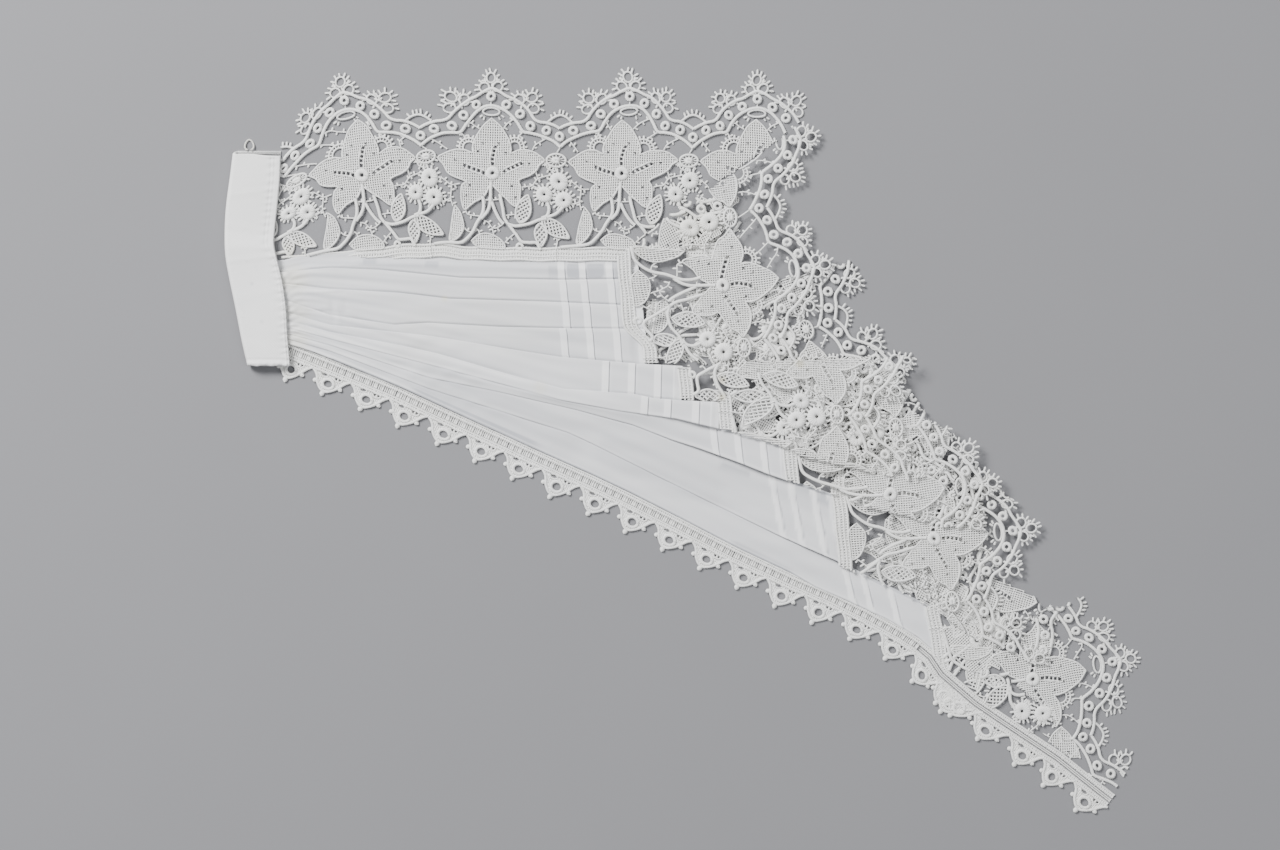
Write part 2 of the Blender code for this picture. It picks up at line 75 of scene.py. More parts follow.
SLOT_HEADROOM = 0.1
BACK_LAYER_SHOWS = 3.5
BACK_LAYER_ENDS = 9.0
FOOT_RAGGED = 0.5
FOOT_RAGGED_TURN = 0.42
FOOT_RAGGED_REACH = 3.0
TOP_SAGS = 2.2
TOP_SAGS_OVER = (252.0, 270.0)
TOP_SAGS_REACH = 4.0
# The two rows of stitches: in from the band's right edge, and how much further in they run beside the cord
SEAM_IN = 8.6
SEAM_MOVES_IN = 5.2
SEAM_HALF = 0.75
SEAM_DEPTH = 0.26
SECOND_SEAM_IN = 5.2
SECOND_SEAM_MOVES_IN = 4.0
SECOND_SEAM_HALF = 0.7
SECOND_SEAM_SHARE = 0.6
SECOND_SEAM_DEEPER = 0.3
STITCH_LONG = 2.6
STITCH_EVEN = 0.75
SEAM_CORD = 0.30
SEAM_CORD_HALF = math.sqrt(1.4)
SEAM_CORD_FROM = (244.0, 262.0)
PUCKER = 0.13
PUCKER_LENGTH = 7.5
PUCKER_REACH = 4.5
PUCKER_DRIFT = 1.7
PUCKER_DRIFT_LENGTH = 11.0
EDGE_PUCKER_SHARE = 0.6
EDGE_PUCKER_SLANT = 0.4
EDGE_PUCKER_LENGTH = 4.7
EDGE_PUCKER_IN = 2.5
SOFT_CREASES = (
    # across the band: y at the fold, y at the seam, height in mm, half width in squares
    (196, 190, 0.10, 3.0),
    (226, 232, 0.12, 4.0),
    (243, 238, -0.10, 5.0),
    (262, 256, 0.12, 3.0),
    (300, 290, 0.08, 5.0),
    (336, 344, -0.08, 6.0),
)
# Waves over the sheet: height, turn for each square across and down the sheet, and start
BAND_LIE = ((0.16, 0.06, 0.031), (0.07, -0.2, 0.11))
BAND_LIE_ACROSS = 0.045
HEM_ROLL = 0.42
HEM_ROLL_IN = 2.4
HEM_ROLL_HALF = 1.7
HEM_ROLL_UNEVEN = 0.25
HEM_ROLL_TURN = 0.9
HEM_STITCHES = 0.26
HEM_STITCHES_IN = 6.2
HEM_STITCHES_HALF = 0.8
LINEN_WHITE = (0.80, 0.80, 0.80)
LINEN_AGED = (0.74, 0.735, 0.71)
LINEN_SPOTS = ((253, 284, 1.6, 0.5), (263, 322, 1.8, 0.35), (248, 262, 1.2, 0.2), (257, 268, 2.2, 0.12))
SPOT_GREY = (0.50, 0.50, 0.52)


def to_metres(points):
    """Places (x, y on the sheet in squares, height in mm) as points in metres, for an array of any length."""
    points = np.asarray(points, float)
    return np.stack([(points[..., 0] - SHEET_MIDDLE[0]) * SQUARE, (SHEET_MIDDLE[1] - points[..., 1]) * SQUARE,
                     points[..., 2]], axis=-1) * MM


def smooth(share):
    """Eases in and out between 0 and 1, for shares that may run past either."""
    share = np.clip(share, 0.0, 1.0)
    return share * share * (3.0 - 2.0 * share)


def ramp(value, start, end):
    """Eases from 0 at start to 1 at end; start may be the larger."""
    return smooth((value - start) / (end - start))


def bell(away, half):
    """A soft rise that is 1 in its middle and fades over a half width."""
    return np.exp(-(away / half) ** 2)


def wave(x, y, high, across, down, start=0.0, phase=1.0):
    """A soft wave over the sheet: its height, its turn for each square across and down, and its start."""
    return high * np.sin(across * x + down * y + start * phase)


def curve_through(points, step):
    """A smooth curve through points, as points about a step apart, for any number of coordinates."""
    points = np.asarray(points, float)
    before = np.vstack([2 * points[0] - points[1], points[:-1]])[:-1]
    after = np.vstack([points[1:], 2 * points[-1] - points[-2]])[1:]
    spans = []
    for first, start, end, last in zip(before, points[:-1], points[1:], after):
        count = max(1, int(math.ceil(math.dist(start[:2], end[:2]) / step)))
        share = (np.arange(count) / count)[:, None]
        spans.append(0.5 * (2 * start + (end - first) * share
                            + (2 * first - 5 * start + 4 * end - last) * share ** 2
                            + (3 * start - first - 3 * end + last) * share ** 3))
    return np.vstack(spans + [points[-1:]])


def piece_of(name, points, faces, material):
    """A named, smooth-shaded mesh piece that rides on the root, from points in metres and lists of faces."""
    mesh = bpy.data.meshes.new(name)
    sizes = np.concatenate([np.full(len(rows), rows.shape[1]) for rows in faces])
    corners = np.concatenate([rows.ravel() for rows in faces])
    mesh.vertices.add(len(points))
    mesh.vertices.foreach_set("co", np.asarray(points, np.float32).ravel())
    mesh.loops.add(len(corners))
    mesh.loops.foreach_set("vertex_index", corners.astype(np.int32))
    mesh.polygons.add(len(sizes))
    mesh.polygons.foreach_set("loop_start", np.concatenate([[0], np.cumsum(sizes)[:-1]]).astype(np.int32))
    mesh.polygons.foreach_set("use_smooth", np.ones(len(sizes), bool))
    mesh.update(calc_edges=True)
    mesh.validate()
    mesh.materials.append(material)
    piece = bpy.data.objects.new(name, mesh)
    bpy.context.scene.collection.objects.link(piece)
    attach(piece, "root")
    return piece


def grid_faces(rows, columns, first=0, closed=False):
    """The quads of a grid of points that runs row by row; closed joins the last column to the first."""
    last = columns if closed else columns - 1
    row, column = np.meshgrid(np.arange(rows - 1), np.arange(last), indexing="ij")
    after = (column + 1) % columns
    here, there = row * columns, (row + 1) * columns
    return first + np.stack([here + column, here + after, there + after, there + column], -1).reshape(-1, 4)


def group(name, inputs, outputs):
    """A new shader node group with the named sockets, and its input and output nodes."""
    tree = bpy.data.node_groups.new(name, "ShaderNodeTree")
    for label, kind, value in inputs:
        socket = tree.interface.new_socket(label, in_out="INPUT", socket_type=kind)
        socket.default_value = value
    for label, kind in outputs:
        tree.interface.new_socket(label, in_out="OUTPUT", socket_type=kind)
    return tree, tree.nodes.new("NodeGroupInput"), tree.nodes.new("NodeGroupOutput")


def node(tree, kind, links=(), **settings):
    """A node with its settings, and links into its sockets: (socket, value or output socket)."""
    made = tree.nodes.new(kind)
    for key, value in settings.items():
        setattr(made, key, value)
    for socket, source in links:
        if isinstance(source, bpy.types.NodeSocket):
            tree.links.new(source, made.inputs[socket])
        else:
            made.inputs[socket].default_value = source
    return made


def math_node(tree, operation, *values):
    return node(tree, "ShaderNodeMath", list(enumerate(values)), operation=operation).outputs[0]


def blend_node(tree, share, first, second):
    """A colour mixed from two by a share."""
    made = node(tree, "ShaderNodeMix", [(0, share), (6, first), (7, second)], data_type="RGBA")
    return made.outputs[2]


def weave_group():
    """Crossing threads over and under, as a height for woven cloth, with slubs that thicken the threads."""
    tree, given, result = group("plain weave", [("Threads per metre", "NodeSocketFloat", 1800.0),
                                                ("Slubs", "NodeSocketFloat", 0.5)],
                                [("Height", "NodeSocketFloat")])
    place = node(tree, "ShaderNodeTexCoord").outputs["Object"]
    wobble = node(tree, "ShaderNodeTexNoise", [("Vector", place), ("Scale", 260.0), ("Detail", 2.0)])
    moved = node(tree, "ShaderNodeVectorMath", [(0, wobble.outputs["Color"]), (1, (0.0004, 0.0004, 0.0))],
                 operation="MULTIPLY")
    moved = node(tree, "ShaderNodeVectorMath", [(0, place), (1, moved.outputs[0])], operation="ADD")
    place = moved.outputs[0]
    parts = node(tree, "ShaderNodeSeparateXYZ", [(0, place)])
    turn = math_node(tree, "MULTIPLY", given.outputs["Threads per metre"], math.pi)
    across = math_node(tree, "SINE", math_node(tree, "MULTIPLY", parts.outputs[0], turn))
    down = math_node(tree, "SINE", math_node(tree, "MULTIPLY", parts.outputs[1], turn))
    crossing = math_node(tree, "MULTIPLY", across, down)
    slub = node(tree, "ShaderNodeTexNoise", [("Vector", place), ("Scale", 900.0), ("Detail", 3.0)])
    slubs = math_node(tree, "MULTIPLY", slub.outputs["Fac"], given.outputs["Slubs"])
    crossing = math_node(tree, "MULTIPLY", crossing, 0.3)
    tree.links.new(math_node(tree, "ADD", crossing, slubs), result.inputs[0])
    return tree


def ageing_group():
    """Old white cotton: a clean colour that yellows in soft patches of two sizes."""
    tree, given, result = group("ageing", [("Clean", "NodeSocketColor", (0.8, 0.8, 0.8, 1.0)),
                                           ("Aged", "NodeSocketColor", (0.7, 0.7, 0.6, 1.0)),
                                           ("Amount", "NodeSocketFloat", 0.5)],
                                [("Color", "NodeSocketColor")])
    place = node(tree, "ShaderNodeTexCoord").outputs["Object"]
    broad = node(tree, "ShaderNodeTexNoise", [("Vector", place), ("Scale", 26.0), ("Detail", 3.0)])
    fine = node(tree, "ShaderNodeTexNoise", [("Vector", place), ("Scale", 210.0), ("Detail", 4.0)])
    patches = math_node(tree, "ADD", math_node(tree, "MULTIPLY", broad.outputs["Fac"], 1.5),
                        math_node(tree, "MULTIPLY", fine.outputs["Fac"], 0.5))
    patches = math_node(tree, "MULTIPLY", math_node(tree, "SUBTRACT", patches, 0.62), given.outputs["Amount"])
    share = node(tree, "ShaderNodeClamp", [(0, patches)]).outputs[0]
    tree.links.new(blend_node(tree, share, given.outputs["Clean"], given.outputs["Aged"]), result.inputs[0])
    return tree


PLAIN_WEAVE = weave_group()
AGEING = ageing_group()


def cotton(name, clean, aged, amount, roughness, sheen):
    """A matt white material with its ageing: returns the material, its tree, its shader and its colour."""
    material = bpy.data.materials.new(name)
    material.use_nodes = True
    tree = material.node_tree
    shader = tree.nodes["Principled BSDF"]
    shader.inputs["Roughness"].default_value = roughness
    shader.inputs["Sheen Weight"].default_value = sheen
    shader.inputs["Sheen Roughness"].default_value = 0.5
    shader.inputs["Specular IOR Level"].default_value = 0.25
    aged_group = node(tree, "ShaderNodeGroup", node_tree=AGEING)
    aged_group.inputs["Clean"].default_value = (*clean, 1.0)
    aged_group.inputs["Aged"].default_value = (*aged, 1.0)
    aged_group.inputs["Amount"].default_value = amount
    tree.links.new(aged_group.outputs[0], shader.inputs["Base Color"])
    return material, tree, shader, aged_group.outputs[0]


def bump(tree, shader, height, distance, strength=1.0):
    made = node(tree, "ShaderNodeBump", [("Height", height), ("Distance", distance), ("Strength", strength)])
    tree.links.new(made.outputs[0], shader.inputs["Normal"])


def spots(tree, base, rows, colour):
    """Small soft spots on a colour, from rows of x, y, size in squares and strength."""
    place = node(tree, "ShaderNodeTexCoord").outputs["Object"]
    for x, y, size, strength in rows:
        middle = tuple(to_metres((x, y, 0.0)))
        flat = node(tree, "ShaderNodeVectorMath", [(0, place), (1, (1.0, 1.0, 0.0))], operation="MULTIPLY")
        away = node(tree, "ShaderNodeVectorMath", [(0, flat.outputs[0]), (1, middle)], operation="DISTANCE")
        reach = size * SQUARE * MM
        near = node(tree, "ShaderNodeMapRange",
                    [(0, away.outputs["Value"]), (1, 0.2 * reach), (2, 1.8 * reach), (3, strength), (4, 0.0)],
                    interpolation_type="SMOOTHSTEP")
        base = blend_node(tree, near.outputs[0], base, (*colour, 1.0))
    return base


def linen():
    material, tree, shader, colour = cotton("linen", LINEN_WHITE, LINEN_AGED, amount=0.6, roughness=0.72,
                                            sheen=0.12)
    tree.links.new(spots(tree, colour, LINEN_SPOTS, SPOT_GREY), shader.inputs["Base Color"])
    weave = node(tree, "ShaderNodeGroup", node_tree=PLAIN_WEAVE)
    weave.inputs["Threads per metre"].default_value = 2000.0
    weave.inputs["Slubs"].default_value = 0.9
    bump(tree, shader, weave.outputs[0], distance=0.00012, strength=0.7)
    return material


def line_at(line, y):
    """How far across the sheet a smooth line of places is, for an array of y."""
    fine = curve_through(line, step=2.0)
    order = np.argsort(fine[:, 1])
    return np.interp(y, fine[order, 1], fine[order, 0])


def band_height(y, left, right, x):
    """The top of the folded band: soft over its layers, sunk at its stitches, raised along cord and hem."""
    opened = ramp(y, *BAND_OPENS)
    crown = 2 * BAND_LAYER + BAND_THIN_SLOT + (BAND_SLOT - BAND_THIN_SLOT) * opened
    inward = np.clip((x - left) / BAND_FOLD_IN, 0.0, 1.0)
    round_off = 1.0 - np.sqrt(np.clip(1.0 - (1.0 - inward) ** 2, 0.0, 1.0))
    height = crown - crown / 2 * round_off
    lower = ramp(y, *SEAM_CORD_FROM)
    seam = right - SEAM_IN + SEAM_MOVES_IN * lower - x
    second = right - SECOND_SEAM_IN + SECOND_SEAM_MOVES_IN * lower - x
    stitch = STITCH_EVEN + (1.0 - STITCH_EVEN) * math.cos(math.tau * y / STITCH_LONG)
    height -= SEAM_DEPTH * stitch * bell(seam, SEAM_HALF)
    height -= (SECOND_SEAM_SHARE * SEAM_DEPTH + SECOND_SEAM_DEEPER * lower) * bell(second, SECOND_SEAM_HALF)
    height += SEAM_CORD * lower * bell((seam - second) / 2.0 - seam, SEAM_CORD_HALF)
    drift = PUCKER_DRIFT * np.sin(y / PUCKER_DRIFT_LENGTH)
    height += PUCKER * np.cos(math.tau * y / PUCKER_LENGTH + drift) * bell(seam, PUCKER_REACH)
    puckers = EDGE_PUCKER_SHARE * PUCKER * np.cos(math.tau * (y + EDGE_PUCKER_SLANT * x) / EDGE_PUCKER_LENGTH)
    height += puckers * bell(right - EDGE_PUCKER_IN - x, EDGE_PUCKER_IN) * lower
    from_hem = BAND_FOOT - y
    uneven = 1.0 + HEM_ROLL_UNEVEN * np.sin(HEM_ROLL_TURN * x)
    height += HEM_ROLL * bell(from_hem - HEM_ROLL_IN, HEM_ROLL_HALF) * uneven
    height -= HEM_STITCHES * bell(from_hem - HEM_STITCHES_IN, HEM_STITCHES_HALF)
    for fold_y, seam_y, high, wide in SOFT_CREASES:
        line = fold_y + (seam_y - fold_y) * (x - left) / (right - left)
        height += high * bell(y - line, wide) * inward
    height += wave(x, y, *BAND_LIE[0]) * np.sin(BAND_LIE_ACROSS * (x - left)) * inward
    height += wave(x, y, *BAND_LIE[1]) * inward
    return height


def neckband():
    """The band's shell: outside over the top, round the fold, along the table and back inside the slot."""
    rows = []
    for y in np.linspace(BAND_TOP, BAND_FOOT, BAND_STATIONS):
        left, right = line_at(BAND_LEFT, y), line_at(BAND_RIGHT, y)
        back = y - BACK_LAYER_SHOWS * (1.0 - smooth((y - BAND_TOP) / BACK_LAYER_ENDS))
        over = np.linspace(right, left + FOLD_STARTS_IN, BAND_ACROSS)
        ragged = FOOT_RAGGED * np.sin(FOOT_RAGGED_TURN * over) * bell(BAND_FOOT - y, FOOT_RAGGED_REACH)
        ragged += TOP_SAGS * ramp(over, *TOP_SAGS_OVER) * bell(y - BAND_TOP, TOP_SAGS_REACH)
        top = np.stack([over, y + ragged, band_height(y, left, right, over)], -1)
        crown = top[-1, 2] * 2.0
        turn = np.linspace(0.0, math.pi / 2, BAND_FOLD_STEPS)[1:]
        fold = np.stack([left + BAND_FOLD_IN * (1.0 - np.cos(turn)), y + (back - y) * np.sin(turn),
                         crown / 2 * (1.0 - np.sin(turn)) + BAND_OFF_TABLE], -1)
        under = np.array([(right, back, BAND_OFF_TABLE), (right, back, BAND_LINEN)])
        inner = left + BAND_FOLD_IN + SLOT_FROM_FOLD
        inside = np.array([(inner, back, BAND_LINEN), (inner - SLOT_ROUND, (y + back) / 2, crown / 2),
                           (inner, y, crown - BAND_LINEN - SLOT_HEADROOM),
                           (right, y, top[0, 2] - BAND_LINEN)])
        rows.append(np.vstack([top, fold, under, inside]))
    rows = np.array(rows)
    count = rows.shape[1]
    quads = grid_faces(len(rows), count, closed=True)
    ends = np.array([np.arange(count)[::-1], (len(rows) - 1) * count + np.arange(count)])
    return piece_of("neckband_linen", to_metres(rows.reshape(-1, 3)), [quads, ends], linen())


band = neckband()
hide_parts("neckband")

# The loop of thread at the top of the neckband hooks over a button. It is one length of plied cotton thread,
# sewn in between the band's two layers, and it lies on the table.

LOOP_MIDDLE = (249.5, 145.2)
LOOP_SIZE = (8.6, 10.6)
LOOP_POINTED = 0.25
LOOP_THREAD = 0.65
LOOP_FROM = -72
LOOP_TURN = 324
LOOP_RISES = 0.4
LOOP_POINTS = 60
THREAD_GREY = (0.66, 0.65, 0.62)
THREAD_AGED = (0.56, 0.54, 0.48)
STAIN_TAN = (0.62, 0.57, 0.38)

# Cross-sections of a thread with three, four or six sides, in half widths and half heights
SECTIONS = {
    3: ((-1.0, -0.6), (0.0, 1.0), (1.0, -0.6)),
    4: ((-1.0, 0.0), (0.0, 1.0), (1.0, 0.0), (0.0, -1.0)),
    6: ((-1.0, 0.0), (-0.55, 0.85), (0.55, 0.85), (1.0, 0.0), (0.5, -0.85), (-0.5, -0.85)),
}


class Work:
    """Thread work that grows stroke by stroke: its points, its faces and each point's place on its thread."""

    def __init__(self):
        self.points, self.thread, self.faces, self.count = [], [], {}, 0

    def add(self, points, thread, faces):
        points = points.reshape(-1, 3)
        self.points.append(points)
        self.thread.append(thread.reshape(-1, 3))
        for rows in faces:
            self.faces.setdefault(rows.shape[1], []).append(rows + self.count)
        self.count += len(points)

    def tubes(self, middles, wide, high, sides=4, closed=False):
        """Threads with the same number of points: their middles, half widths and half heights."""
        middles = np.asarray(middles, float)
        threads, stations = middles.shape[:2]
        if closed:
            way = np.roll(middles, -1, 1) - np.roll(middles, 1, 1)
        else:
            way = np.gradient(middles, axis=1)
        way = way[..., :2] / np.maximum(1e-9, np.linalg.norm(way[..., :2], axis=-1, keepdims=True))
        beside = np.stack([-way[..., 1], way[..., 0]], -1)
        section = np.array(SECTIONS[sides])
        wide = np.broadcast_to(wide, (threads, stations))[..., None]
        high = np.broadcast_to(high, (threads, stations))[..., None]
        points = np.empty((threads, stations, sides, 3))
        points[..., :2] = middles[:, :, None, :2] + beside[:, :, None] * (wide * section[:, 0])[..., None]
        points[..., 2] = middles[:, :, None, 2] + high * section[:, 1]
        steps = np.linalg.norm(np.diff(middles[..., :2], axis=1), axis=-1)
        run = np.concatenate([np.zeros((threads, 1)), np.cumsum(steps, 1)], 1) * SQUARE
        thread = np.zeros((threads, stations, sides, 3))
        thread[..., 0] = run[..., None]
        thread[..., 1] = section[:, 0]
        first = (np.arange(threads) * stations * sides)[:, None, None]
        quads = grid_faces(stations + 1 if closed else stations, sides, closed=True)
        quads = (first + (quads % (stations * sides))[None]).reshape(-1, 4)
        faces = [quads]
        if not closed:
            start = np.arange(sides)[None]
            end = first[:, 0] + (stations - 1) * sides
            faces.append(np.concatenate([first[:, 0] + start, end + start[:, ::-1]]))
        self.add(points, thread, faces)

    def piece(self, name, material, slot):
        """The finished thread work as one piece, with each point's place on its thread kept for the ply."""
        faces = [np.concatenate(rows) for rows in self.faces.values()]
        made = piece_of(name, to_metres(np.concatenate(self.points)), faces, material)
        kept = made.data.attributes.new("thread", "FLOAT_VECTOR", "POINT")
        kept.data.foreach_set("vector", np.concatenate(self.thread).astype(np.float32).ravel())
        return made


def ply_group():
    """The twist of plied thread, as a height: slanting strands round each stroke, with loose fibres."""
    tree, given, result = group("thread ply", [("Strands per mm", "NodeSocketFloat", 2.0),
                                               ("Fibres", "NodeSocketFloat", 0.4)],
                                [("Height", "NodeSocketFloat")])
    thread = node(tree, "ShaderNodeAttribute", attribute_name="thread")
    parts = node(tree, "ShaderNodeSeparateXYZ", [(0, thread.outputs["Vector"])])
    turn = math_node(tree, "MULTIPLY", given.outputs["Strands per mm"], math.tau)
    slant = math_node(tree, "MULTIPLY", parts.outputs[1], 1.6)
    turned = math_node(tree, "MULTIPLY", parts.outputs[0], turn)
    twist = math_node(tree, "SINE", math_node(tree, "ADD", turned, slant))
    place = node(tree, "ShaderNodeTexCoord").outputs["Object"]
    fibre = node(tree, "ShaderNodeTexNoise", [("Vector", place), ("Scale", 5200.0), ("Detail", 3.0)])
    fibres = math_node(tree, "MULTIPLY", fibre.outputs["Fac"], given.outputs["Fibres"])
    tree.links.new(math_node(tree, "ADD", math_node(tree, "MULTIPLY", twist, 0.35), fibres), result.inputs[0])
    return tree


THREAD_PLY = ply_group()


def thread_finish(name, clean, aged, amount, strands, depth, stains=()):
    """Plied cotton thread, with its old stains where it has any."""
    material, tree, shader, colour = cotton(name, clean, aged, amount, roughness=0.82, sheen=0.1)
    tree.links.new(spots(tree, colour, stains, STAIN_TAN), shader.inputs["Base Color"])
    ply = node(tree, "ShaderNodeGroup", node_tree=THREAD_PLY)
    ply.inputs["Strands per mm"].default_value = strands
    ply.inputs["Fibres"].default_value = 0.7
    bump(tree, shader, ply.outputs[0], distance=depth, strength=0.8)
    return material


def thread_loop():
    share = np.linspace(0.0, 1.0, LOOP_POINTS)
    turn = np.radians(LOOP_FROM + LOOP_TURN * share)
    x = LOOP_MIDDLE[0] + LOOP_SIZE[0] / 2 * np.cos(turn) * (1.0 - LOOP_POINTED * np.sin(turn))
    y = LOOP_MIDDLE[1] - LOOP_SIZE[1] / 2 * np.sin(turn)
    half = LOOP_THREAD / 2
    rise = smooth(np.abs(2 * share - 1) * (1.0 + LOOP_RISES) - LOOP_RISES)
    z = half + (BAND_LAYER - half) * rise
    work = Work()
    work.tubes(np.stack([x, y, z], -1)[None], half / SQUARE, half, sides=6)
    finish = thread_finish("loop thread", THREAD_GREY, THREAD_AGED, amount=0.7, strands=1.3, depth=0.0002)
    return work.piece("loop_thread", finish, "thread")


loop = thread_loop()
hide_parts("thread_loop")

# The panel is fine cotton lawn, laid in soft pleats that fan out from the gathers in the neckband, each with
# three pin tucks beside its hem. A narrow rolled hem runs along its long side. It is one thin open sheet: the
# face of each pleat, its rolled fold, and the layers of the pleat beneath it.

CREASES = (
    # name, starts at x, mound at the hem, step at the hem (mm, positive where the lower face is on top), line
    ("top seam", 330, 1.0, 0.0, ((285, 260), (310, 253), (360, 251), (420, 251), (520, 256), (640, 257),
                                 (700, 257.5))),
    ("one", 330, 1.45, 0.7, ((285, 272), (330, 268), (380, 270), (460, 278), (560, 280), (640, 279),
                             (700, 279))),
    ("two", 340, 2.0, 0.6, ((285, 284), (330, 289), (400, 293), (450, 299), (550, 302), (640, 306),
                            (700, 308))),
    ("three", 395, 2.4, 0.6, ((285, 300), (330, 315), (395, 325), (428, 323), (498, 327), (560, 328.5),
                              (640, 329), (700, 330))),
    ("four", 430, 3.5, 1.7, ((285, 312), (330, 325), (430, 336), (468, 342), (509, 349), (531, 352.5),
                             (560, 357), (640, 364), (700, 367))),
    ("five", 560, 5.2, 1.6, ((285, 320), (330, 332), (404, 346), (439, 354), (475, 364.5), (520, 377.5),
                             (565, 389), (601, 391.5), (634, 394), (655, 398.5), (683, 400.5), (760, 404))),
    ("six", 600, 5.2, -1.7, ((285, 327), (330, 339), (430, 365), (505, 385), (560, 400), (620, 411),
                             (675, 418.5), (715, 428), (765, 441), (805, 458), (840, 470))),
    ("seven", 632, 3.6, -1.8, ((285, 333), (330, 345), (430, 378), (500, 392), (574, 409), (632, 424.5),
                               (671, 439.5), (698, 448), (740, 463), (765, 473), (805, 487), (880, 512))),
    ("eight", 740, 1.9, -1.7, ((285, 338), (330, 351), (430, 389), (500, 411), (568, 432.5), (591, 443),
                               (627, 461), (662, 478.5), (720, 507), (776, 534), (806, 547.5), (835, 560),
                               (865, 577), (960, 622))),
    ("long edge", 330, 1.0, 0.0, ((285, 343), (300, 347.5), (315, 352.5), (345, 364.5), (372, 375.5),
                                  (400, 387), (430, 400.8), (470, 419.4), (500, 433), (545, 453.6),
                                  (591, 474), (630, 492.4),
                                  (681, 518.3), (737, 547.6), (790, 572.5), (815, 587), (845, 599.7),
                                  (886, 618.8), (918, 637.4), (930, 648), (960, 668))),
)
# How dark each crease is painted at these places along the sheet, as a fine shade line and a soft shade
# beside it
SHADE_PLACES = (300, 420, 500, 570, 640, 700, 800)
NO_SHADE = ((1,) * 7, (0,) * 7)
SHADES = {
    "one": ((0.5, 0.9, 0.9, 0.9, 0.9, 0.9, 0.9), (0, 0, 0, 0, 0, 0, 0)),
    "two": ((0.5, 0.8, 0.8, 0.7, 0.8, 0.8, 0.8), (0, 0, 0, 0, 0, 0, 0)),
    "three": ((0.4, 0.9, 0.7, 0.6, 0.7, 0.7, 0.7), (0, 0, 0, 0, 0, 0, 0)),
    "four": ((0.2, 0.1, 0.1, 0.1, 0.2, 0.4, 0.5), (0.25, 0.35, 0.35, 0.30, 0.25, 0.2, 0.2)),
    "five": ((0.1, 0.1, 0.05, 0.05, 0.35, 0.5, 0.5), (0.25, 0.6, 0.5, 0.15, 0.1, 0.1, 0.1)),
    "six": ((0.1, 0.1, 0.1, 0.1, 0.15, 0.3, 0.6), (0.3, 0.4, 0.2, 0.1, 0.1, 0.1, 0.1)),
    "seven": ((0.15, 0.1, 0.1, 0.2, 0.5, 0.8, 0.9), (0.3, 0.35, 0.1, 0.1, 0.15, 0.1, 0.1)),
    "eight": ((0.15, 0.15, 0.15, 0.3, 0.3, 0.35, 0.8), (0.25, 0.2, 0.1, 0.05, 0.05, 0.05, 0.1)),
}
LAWN_FROM = 285.0
LAWN_IN_BAND = 7.0
GATHERED_HEIGHT = 1.9
MOUND_LENGTH = 360
STEP_LENGTH = 130
LEAST_STEP = 0.16
LEAST_STEP_PALE = 0.35
PLEATS_START = 330
# The flower that each pleat's hem is square to, and how far inside it the hem runs
HEMS = ((709, 155, 6),) * 4 + ((765, 350, -2), (803, 350, -2), (860, 364, 6), (912, 408, 5), (1006, 550, 9))
HEM_INSIDE = 82.0
HEM_GUESS = 700.0
HEM_TRIES = 8
LEVEL = 1.7
FOLD_RADIUS = 0.28
FOLD_TURNS = 6
FOLD_UNDER = 3.0
FOLD_NEEDS = 8.0
FOLD_OFF_TABLE = 0.12
FOLD_LEAST = 0.1
# The lower layer at a fold steps away and down in squares and mm, and starts under the upper one
LOWER_AWAY = 0.15
LOWER_DOWN = 0.04
LOWER_UNDER = 1.5
LOWER_UNDER_SHARE = 0.25
# The level of lace that each pleat's hem is sewn to, and how far in from its hem its tucks are
HEM_LEVELS = (1, 1, 1, 1, 2, 3, 2, 1, 0)
TUCKS = ((26, 53, 74),) * 3 + ((26, 53, 79), (21, 47, 73), (20, 48, 71), (21.5, 47, 71), (19, 42, 61),
                               (38.7, 66, 84.5))
TUCK_SLANT = (0, 0, 0, 0, 0, 0, 0.03, 0.14, 0.12)
TUCK_WIDE = 6.8
TUCK_HIGH = 0.24
TUCK_FALLS = 0.75
TUCK_REACH = 102.0
# Beside each tuck: a sunk line of stitches and a painted shade line, as how deep, how far before it and half
# width
TUCK_STITCHES = (0.16, 0.8, 0.5)
TUCK_SHADE_LINE = (1.1, 0.75, 0.45)
TUCK_PALE_PAST = 0.2
TUCK_PALE_SHORT = 0.4
HEM_DOUBLED = (9.0, 8.0)
HEM_DOUBLED_HIGH = 0.12
HEM_DOUBLED_PALE = 0.8
# Where the mesh has its rows: along the pleat, near the hem, and beside each tuck
LAWN_STATIONS = 130
AWAY_FROM_HEM = 500.0
HEM_STATIONS = (8.0, 9.2)
HEM_STATION_STEP = 2.4
TUCK_STATIONS = (-1.6, -1.1, -0.7, -0.3, 0.0, 0.2, 0.6, TUCK_WIDE - 0.6, TUCK_WIDE + 0.4)
LAWN_ACROSS = 20
BESIDE_CREASE = (0.45, 1.0, 1.7, 2.8)
BESIDE_NEEDS = 14.0
INNER_FROM = 4.4
INNER_SHARE = 0.4
# How the cloth dips at a crease with painted shade beside it, and a painted highlight along a fold that lies
# on top
CREASE_DIP = 0.35
CREASE_DIP_LEAST = 0.1
CREASE_DIP_PALE = 0.2
CREASE_DIP_REACH = (2.2, 0.2)
CREASE_SHADE = 0.35
CREASE_SHADE_WIDE = 0.95
CREASE_SHADE_HALF = 1.15
CREASE_SOFT_SHADE_HALF = 5.0
FOLD_HIGHLIGHT = (0.2, 0.3, 0.4)
FOLD_HIGHLIGHT_IN = 2.2
FOLD_HIGHLIGHT_HALF = 1.6
